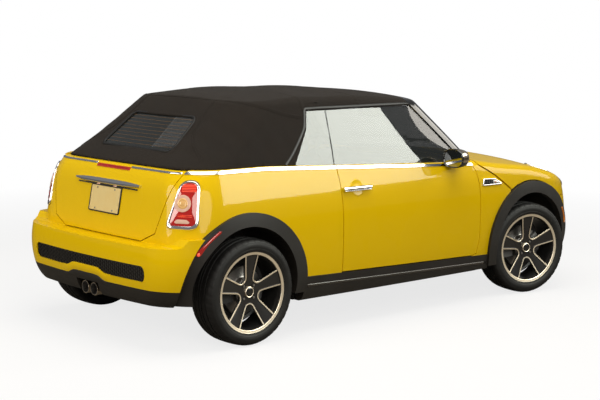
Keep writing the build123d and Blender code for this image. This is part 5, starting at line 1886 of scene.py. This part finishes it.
def makeDoorLining(side):
    word = sideWord(side)
    body = "door_" + word
    x0, z0 = liningSet["middle"]
    skin = Skin(nodeTree([body]), (x0, side * 0.72, z0), (side, 0, 0), (0, 0, 1),
                liningSet["half"], order=4)

    def flat(spot):
        return Vector((side * (spot[0] - x0), spot[1] - z0))

    rise = liningSet["rise"]
    outline = resample(roundedOutline([flat(spot) for spot in liningSet["card"]],
                                      liningSet["cornerRadius"]),
                       0.022, True)
    shape = bmesh.new()
    loop = fillPatch(shape, skin, outline, rise, 0.0, 8)
    skirt(shape, loop, outline, skin, -0.004)
    inset = resample(roundedOutline([flat(spot) for spot in liningSet["inset"]], 0.04), 0.022, True)
    loop = fillPatch(shape, skin, inset, rise + 0.003, 0.006, 6, 1)
    skirt(shape, loop, inset, skin, rise - 0.002, 1)
    outlineBand(shape, skin, inset, roundSection(0.0028, 8, rise + 0.003), 2)
    finishPiece("doorCard_" + word, shape, ["blackPlastic", "seatCloth", "yellowPiping"], body,
                50)
    shape = bmesh.new()
    for centre, half, radius in ((liningSet["restCentre"], liningSet["restHalf"], 0.018),
                                 (liningSet["pocketCentre"], liningSet["pocketHalf"], 0.012)):
        spot = flat(centre)
        softBox(shape, skin.at(spot.x, spot.y, rise + half[1] * 0.75), half, radius)
    finishPiece("doorRest_" + word, shape, ["blackPlastic"], body, 60)
    shape = bmesh.new()
    size = liningSet["speakerRadius"]
    spot = flat(liningSet["speaker"])
    rings = [(size, 0), (size, rise + 0.004), (size * 0.97, rise + 0.007), (size * 0.92, rise + 0.006)]
    rings += [(size * (0.90 - 0.06 * k), rise + (0.0045 if k % 2 else 0.0015)) for k in range(14)]
    skinLathe(shape, skin, spot, rings, 56)
    finishPiece("doorSpeaker_" + word, shape, ["blackPlastic"], body)
    shape = bmesh.new()
    spot = flat(liningSet["lever"])
    skinLathe(shape, skin, spot, [(0.034, 0), (0.034, rise + 0.004), (0.030, rise + 0.006),
                                  (0.027, rise + 0.004),
                                  (0.020, rise + 0.001), (0.001, rise)], 40)
    softBox(shape, skin.at(spot.x - side * 0.006, spot.y, rise + 0.009), (0.024, 0.003, 0.007), 0.0028)
    start, end = flat(liningSet["pullStart"]), flat(liningSet["pullEnd"])
    line = [start.lerp(end, k / 16) for k in range(17)]
    lifts = [rise + 0.034 * math.sin(math.pi * k / 16) ** 0.6 for k in range(17)]
    points = [skin.at(spot.x, spot.y, lift) for spot, lift in zip(line, lifts)]
    sweepProfile(shape, points, [Vector((0.2, 0, 1))] * 17, roundSection(0.0085, 12))
    finishPiece("doorPull_" + word, shape, ["brightTrim"], body, 50)


for side in (-1, 1):
    makeDoorLining(side)


# cabin controls: gear lever, handbrake, pedals, mats and the inner mirror
controlSet = {
    "gear": (0.215, 0.0, 0.560), "brake": (-0.060, 0.0, 0.562),
              "pedals": [(0.495, 0.270), (0.495, 0.365), (0.470, 0.455)],
    "mats": [(0.27, 0.37), (0.27, -0.37), (-0.62, 0.36), (-0.62, -0.36)], "floorTop": 0.212,
              "mirrorHeight": 1.245,
}


def standingLathe(shape, foot, profile, segments=40, material=0, lean=0.0):
    # a turned form with its axis upright or leaning back
    upright = Matrix.Rotation(lean, 4, "Y") @ Matrix.Rotation(math.radians(90), 4, "X")
    place = Matrix.Translation(Vector(foot)) @ upright
    spinProfile(shape, profile, segments, place, material)


def makeControls():
    shape = bmesh.new()
    gaiter = [(0.001, -0.002), (0.060, -0.002)]
    gaiter += [(0.060 - 0.0062 * k + (0.003 if k % 2 else -0.001), 0.004 + 0.0068 * k) for k in range(8)]
    standingLathe(shape, controlSet["gear"], gaiter + [(0.001, 0.058)], 48, 1)
    standingLathe(shape, controlSet["gear"],
                  [(0.001, 0.03), (0.0065, 0.03), (0.0065, 0.10), (0.018, 0.106),
                                              (0.025, 0.124), (0.023, 0.142), (0.012, 0.150),
                                              (0.001, 0.151)], 40, 0)
    standingLathe(shape, controlSet["gear"],
                  [(0.001, -0.002), (0.069, -0.002), (0.069, 0.004), (0.064, 0.0065),
                                              (0.058, 0.004), (0.001, 0.004)], 48, 2)
    start = Vector(controlSet["brake"])
    line = [start + Vector((-0.012 * k, 0, 0.0002 * k * k + 0.002 * k)) for k in range(17)]
    sweepProfile(shape, line, [Vector((0, 0, 1))] * 17, roundSection(0.014, 14), material=0,
                 widths=[0.6 if k < 6 else 1.0 for k in range(17)])
    softBox(shape, start + Vector((0.0, 0, 0.004)), (0.050, 0.024, 0.012), 0.009, 1)
    for x, radius in ((0.325, 0.038), (-0.245, 0.038)):
        standingLathe(shape, (x, 0, 0.560),
                      [(radius * 0.8, -0.002), (radius * 1.12, -0.002), (radius * 1.12, 0.003),
                                             (radius, 0.005), (radius * 0.86, 0.003),
                                             (radius * 0.84, -0.001)], 40, 2)
    finishPiece("consoleControls", shape, ["pianoBlack", "seatCloth", "brightTrim"], "body")
    shape = bmesh.new()
    for x, y in controlSet["pedals"]:
        arm = [Vector((x + 0.16, y, 0.60)), Vector((x + 0.13, y, 0.50)), Vector((x + 0.045, y, 0.385)),
               Vector((x + 0.008, y, 0.345))]
        sweepProfile(shape, arm, [Vector((1, 0, 0.2))] * 4, roundSection(0.009, 10))
        lean = Matrix.Rotation(math.radians(-32), 3, "Y")
        wide = 0.028 if y > 0.3 else 0.022
        softBox(shape, (x, y, 0.335), (0.008, wide, 0.046 if wide == 0.028 else 0.075), 0.005, 1, lean)
        for rib in range(-2, 3):
            offset = lean @ Vector((-0.009, 0, rib * 0.015))
            softBox(shape, Vector((x, y, 0.335)) + offset, (0.002, wide * 0.85, 0.0035), 0.001, 1, lean)
    finishPiece("pedals", shape, ["dullSteel", "sealRubber"], "body")
    shape = bmesh.new()
    for x, y in controlSet["mats"]:
        half = (0.235, 0.215) if x > 0 else (0.105, 0.20)
        softBox(shape, (x, y, controlSet["floorTop"] + 0.005), (*half, 0.006), 0.004)
        for rib in range(-8, 9):
            softBox(shape, (x + rib * half[0] * 0.105, y, controlSet["floorTop"] + 0.0115),
                    (half[0] * 0.022, half[1] * 0.86, 0.002), 0.0009)
    finishPiece("floorMats", shape, ["sealRubber"], "body")
    tree = nodeTree(["fixed_windows"])
    height = controlSet["mirrorHeight"]
    hit = tree.ray_cast(Vector((-0.2, 0, height)), Vector((1, 0, 0)), 1.5)[0]
    shape = bmesh.new()
    foot = Vector((hit.x - 0.001, 0, height))
    head = foot + Vector((-0.060, 0, -0.030))
    sweepProfile(shape, [foot, foot + Vector((-0.03, 0, 0.002)), head], [Vector((0, 0, 1))] * 3,
                 roundSection(0.009, 12))
    softBox(shape, head + Vector((-0.012, 0, -0.002)), (0.015, 0.112, 0.032), 0.014)
    softBox(shape, head + Vector((-0.0275, 0, -0.002)), (0.0012, 0.102, 0.025), 0.001, 1)
    finishPiece("innerMirror", shape, ["blackPlastic", "mirrorGlass"], "body")


makeControls()
print("door linings and controls made")

# engine bay: the engine with its cover, manifold, pulleys and gearbox, then what stands round it
engineSet = {
    "block": ((1.245, 0.045, 0.395), (0.190, 0.262, 0.133), 0.022),
             "head": ((1.245, 0.045, 0.600), (0.165, 0.250, 0.095), 0.018),
    "cover": ((1.232, 0.020, 0.736), (0.196, 0.270, 0.060), 0.030), "gearbox": (1.250, -0.325, 0.395),
    "pulleys": [(1.250, 0.350, 0.072), (1.130, 0.560, 0.040), (1.370, 0.565, 0.046),
                (1.380, 0.330, 0.034)],
    "runners": (-0.155, -0.050, 0.055, 0.160), "battery": (0.830, -0.400, 0.680),
             "tank": (0.815, 0.180, 0.700),
    "booster": (0.7125, 0.375, 0.700), "radiator": (1.560, 0.0, 0.560),
}


def turnedAlongX(shape, place, profile, segments=48, material=0):
    matrix = Matrix.Translation(Vector(place)) @ Matrix.Rotation(math.radians(-90), 4, "Z")
    spinProfile(shape, profile, segments, matrix, material)


def turnedAlongY(shape, place, profile, segments=48, material=0):
    spinProfile(shape, profile, segments, Matrix.Translation(Vector(place)), material)


def bendTube(shape, knots, radius, material=0, sides=14, count=24):
    # a smooth tube through some knots
    points = [Vector(spot) for spot in splineLine(knots, count)]
    sweepProfile(shape, points, [Vector((0.15, 1, 0.25))] * len(points), roundSection(radius, sides),
                 material=material)


def makeEngine():
    shape = bmesh.new()
    for key, material in (("block", 0), ("head", 0), ("cover", 1)):
        centre, half, radius = engineSet[key]
        softBox(shape, centre, half, radius, material)
    # ribs down the block, webs on the cover, and the oil cap
    for row in range(9):
        y = 0.045 + (row - 4) * 0.058
        for x in (1.054, 1.436):
            softBox(shape, (x, y, 0.400), (0.006, 0.006, 0.110), 0.003)
    for row in range(7):
        softBox(shape, (1.250, 0.020 + (row - 3) * 0.070, 0.7945), (0.130, 0.010, 0.0055), 0.004, 1)
    for x in (1.060, 1.404):
        softBox(shape, (x, 0.020, 0.745), (0.014, 0.225, 0.040), 0.010, 1)
    for x, y in ((1.075, -0.215), (1.075, 0.255), (1.390, -0.215), (1.390, 0.255)):
        standingLathe(shape, (x, y, 0.780),
                      [(0.001, 0), (0.014, 0), (0.014, 0.014), (0.009, 0.017), (0.001, 0.017)], 24, 3)
    standingLathe(shape, (1.330, -0.130, 0.788),
                  [(0.001, 0), (0.033, 0), (0.033, 0.008), (0.028, 0.012), (0.001, 0.012)], 36, 2)
    # the gearbox at the car's right, necked in from its bell
    turnedAlongY(shape, engineSet["gearbox"],
                 [(0.001, 0.0), (0.088, 0.0), (0.100, 0.012), (0.104, 0.070), (0.128, 0.082),
                                               (0.130, 0.115), (0.001, 0.115)], 56)
    softBox(shape, (1.120, -0.235, 0.350), (0.100, 0.085, 0.084), 0.030)
    # pulleys and their belt on the other end
    discs = engineSet["pulleys"]
    for x, z, radius in discs:
        turnedAlongY(shape, (x, 0.296, z),
                     [(0.001, 0), (radius * 0.4, 0), (radius * 0.5, 0.004), (radius * 0.86, 0.004),
                                            (radius, 0.0), (radius, 0.005), (radius * 0.93, 0.008),
                                            (radius * 0.93, 0.024),
                                            (radius, 0.027), (radius, 0.031), (radius * 0.8, 0.031),
                                            (radius * 0.72, 0.020), (radius * 0.3, 0.020),
                                            (radius * 0.22, 0.033),
                                            (0.001, 0.033)], 40, 3)
    hull = []
    for x, z, radius in discs:
        for k in range(72):
            angle = 2 * math.pi * k / 72
            hull.append(Vector((x + radius * 0.96 * math.cos(angle), 0.312,
                                z + radius * 0.96 * math.sin(angle))))
    ring = []
    for k in range(180):
        angle = 2 * math.pi * k / 180
        way = Vector((math.cos(angle), 0, math.sin(angle)))
        best = max(hull, key=way.dot)
        if not ring or (best - ring[-1]).length > 1e-5:
            ring.append(best)
    ring = resample(ring, 0.012, True)
    middle = sum(ring, Vector()) / len(ring)
    sweepProfile(shape, ring, [(spot - middle).normalized() for spot in ring],
                 [(-0.008, -0.001), (-0.008, 0.003), (0.008, 0.003), (0.008, -0.001)], True, 2)
    # inlet runners into the head, and the silver shield over the outlet side
    for y in engineSet["runners"]:
        bendTube(shape, [(1.120, y + 0.045, 0.640), (1.060, y + 0.045, 0.660), (1.036, y + 0.045, 0.600),
                         (1.050, y + 0.045, 0.530)], 0.020, 0)
    turnedAlongY(shape, (1.052, -0.200, 0.530),
                 [(0.001, 0), (0.030, 0.006), (0.034, 0.05), (0.034, 0.42), (0.030, 0.46),
                                                 (0.001, 0.466)], 36)
    softBox(shape, (1.428, 0.045, 0.590), (0.030, 0.185, 0.062), 0.024, 3)
    for row in range(5):
        softBox(shape, (1.457, 0.045 + (row - 2) * 0.070, 0.590), (0.006, 0.008, 0.048), 0.004, 3)
    engine = finishPiece("engine", shape, ["castMetal", "blackPlastic", "sealRubber", "dullSteel"],
                         "body",
                         45)
    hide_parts("engine_block")


def makeBayFittings():
    x, y, z = engineSet["battery"]
    shape = bmesh.new()
    softBox(shape, (x - 0.010, y, z - 0.098), (0.112, 0.098, 0.008), 0.004, 1)
    softBox(shape, (0.7215, y, z - 0.150), (0.0095, 0.060, 0.060), 0.004, 1)
    softBox(shape, (x, y, z), (0.088, 0.085, 0.090), 0.008)
    softBox(shape, (x, y, z + 0.093), (0.091, 0.088, 0.010), 0.006)
    for offset in (-0.05, 0.05):
        standingLathe(shape, (x + 0.050, y + offset, z + 0.102),
                      [(0.001, 0), (0.010, 0), (0.009, 0.014), (0.001, 0.014)],
                      20, 2)
    bendTube(shape, [(x + 0.050, y + 0.050, z + 0.112), (x + 0.075, y + 0.10, z + 0.125),
                     (x + 0.10, y + 0.17, z + 0.060),
                     (1.100, -0.180, 0.600)], 0.007, 3, 10)
    finishPiece("battery", shape, ["blackPlastic", "darkMetal", "dullSteel", "sealRubber"], "body")
    shape = bmesh.new()
    x, y, z = engineSet["booster"]
    turnedAlongX(shape, (x, y, z),
                 [(0.001, 0), (0.104, 0), (0.110, 0.012), (0.112, 0.040), (0.108, 0.052), (0.104, 0.056),
                                    (0.090, 0.086), (0.040, 0.094), (0.024, 0.096), (0.024, 0.170),
                                    (0.018, 0.176),
                                    (0.001, 0.176)])
    softBox(shape, (x + 0.135, y, z + 0.052), (0.045, 0.032, 0.026), 0.010, 1)
    standingLathe(shape, (x + 0.135, y, z + 0.076),
                  [(0.001, 0), (0.022, 0), (0.022, 0.012), (0.018, 0.015), (0.001, 0.015)],
                  28, 2)
    x, y, z = engineSet["tank"]
    softBox(shape, (x, y, z), (0.075, 0.070, 0.062), 0.024, 1)
    softBox(shape, (0.7265, y, z), (0.0145, 0.030, 0.030), 0.006, 2)
    standingLathe(shape, (x, y, z + 0.058),
                  [(0.001, 0), (0.026, 0), (0.026, 0.020), (0.021, 0.025), (0.001, 0.025)], 28, 2)
    bendTube(shape, [(x + 0.070, y, z - 0.030), (0.960, 0.150, 0.640), (1.040, 0.100, 0.560),
                     (1.060, 0.090, 0.540)], 0.014, 2)
    finishPiece("bayVessels", shape, ["darkMetal", "clearGlassy", "sealRubber"], "body")
    shape = bmesh.new()
    x, y, z = engineSet["radiator"]
    softBox(shape, (x, y, z), (0.014, 0.290, 0.125), 0.004, 1)
    for row in range(28):
        softBox(shape, (x - 0.016, y, z - 0.118 + row * 0.00875), (0.003, 0.276, 0.0022), 0.0008, 1)
    for level in (-0.140, 0.140):
        softBox(shape, (x, y, z + level), (0.024, 0.300, 0.018), 0.010)
    for wide in (-0.296, 0.296):
        softBox(shape, (x, y + wide, z), (0.022, 0.016, 0.150), 0.008)
    for wide in (-0.250, 0.250):
        softBox(shape, (x + 0.052, y + wide, 0.468), (0.060, 0.014, 0.046), 0.006, 2)
    bendTube(shape, [(x - 0.010, 0.200, 0.690), (1.500, 0.205, 0.700), (1.440, 0.180, 0.690),
                     (1.400, 0.150, 0.650)],
             0.019, 3)
    finishPiece("radiator", shape, ["blackPlastic", "dullSteel", "darkMetal", "sealRubber"], "body")


makeEngine()
makeBayFittings()


# the lid's lining and the boot mat
lidLiningSet = {"origin": (-1.665, 0.0, 0.795), "half": (0.44, 0.15), "size": (0.415, 0.125),
                "rise": 0.007}


def makeLidLining():
    skin = Skin(nodeTree(["lid"]), lidLiningSet["origin"], (0, 1, 0), (0, 0, 1),
                lidLiningSet["half"], order=4)
    wide, high = lidLiningSet["size"]
    rise = lidLiningSet["rise"]
    outline = resample(roundedOutline([(-wide, -high), (wide, -high), (wide * 0.97, high),
                                       (-wide * 0.97, high)], 0.05),
                       0.02, True)
    shape = bmesh.new()
    loop = fillPatch(shape, skin, outline, rise, 0.003, 6)
    skirt(shape, loop, outline, skin, -0.003)
    for offset in (-0.26, 0.26):
        grip = resample(roundedOutline([(offset - 0.07, -0.03), (offset + 0.07, -0.03),
                                        (offset + 0.07, 0.02),
                                        (offset - 0.07, 0.02)], 0.018), 0.01, True)
        outlineBand(shape, skin, grip, roundSection(0.004, 8, rise + 0.002), 0)
    for place in ((-0.38, -0.09), (0.38, -0.09), (-0.36, 0.09), (0.36, 0.09), (0, -0.10), (0, 0.10)):
        skinLathe(shape, skin, place, [(0.011, rise), (0.011, rise + 0.004), (0.008, rise + 0.006),
                                       (0.001, rise + 0.006)],
                  24, 1)
    finishPiece("lidLining", shape, ["blackPlastic", "sealRubber"], "lid", 50)
    shape = bmesh.new()
    softBox(shape, (-1.440, 0, 0.4215), (0.215, 0.400, 0.0065), 0.005)
    for row in range(-9, 10):
        softBox(shape, (-1.440, row * 0.040, 0.4292), (0.200, 0.004, 0.0018), 0.0008)
    finishPiece("bootMat", shape, ["seatCloth"], "body", 50)


makeLidLining()
print("engine bay and boot dressed")
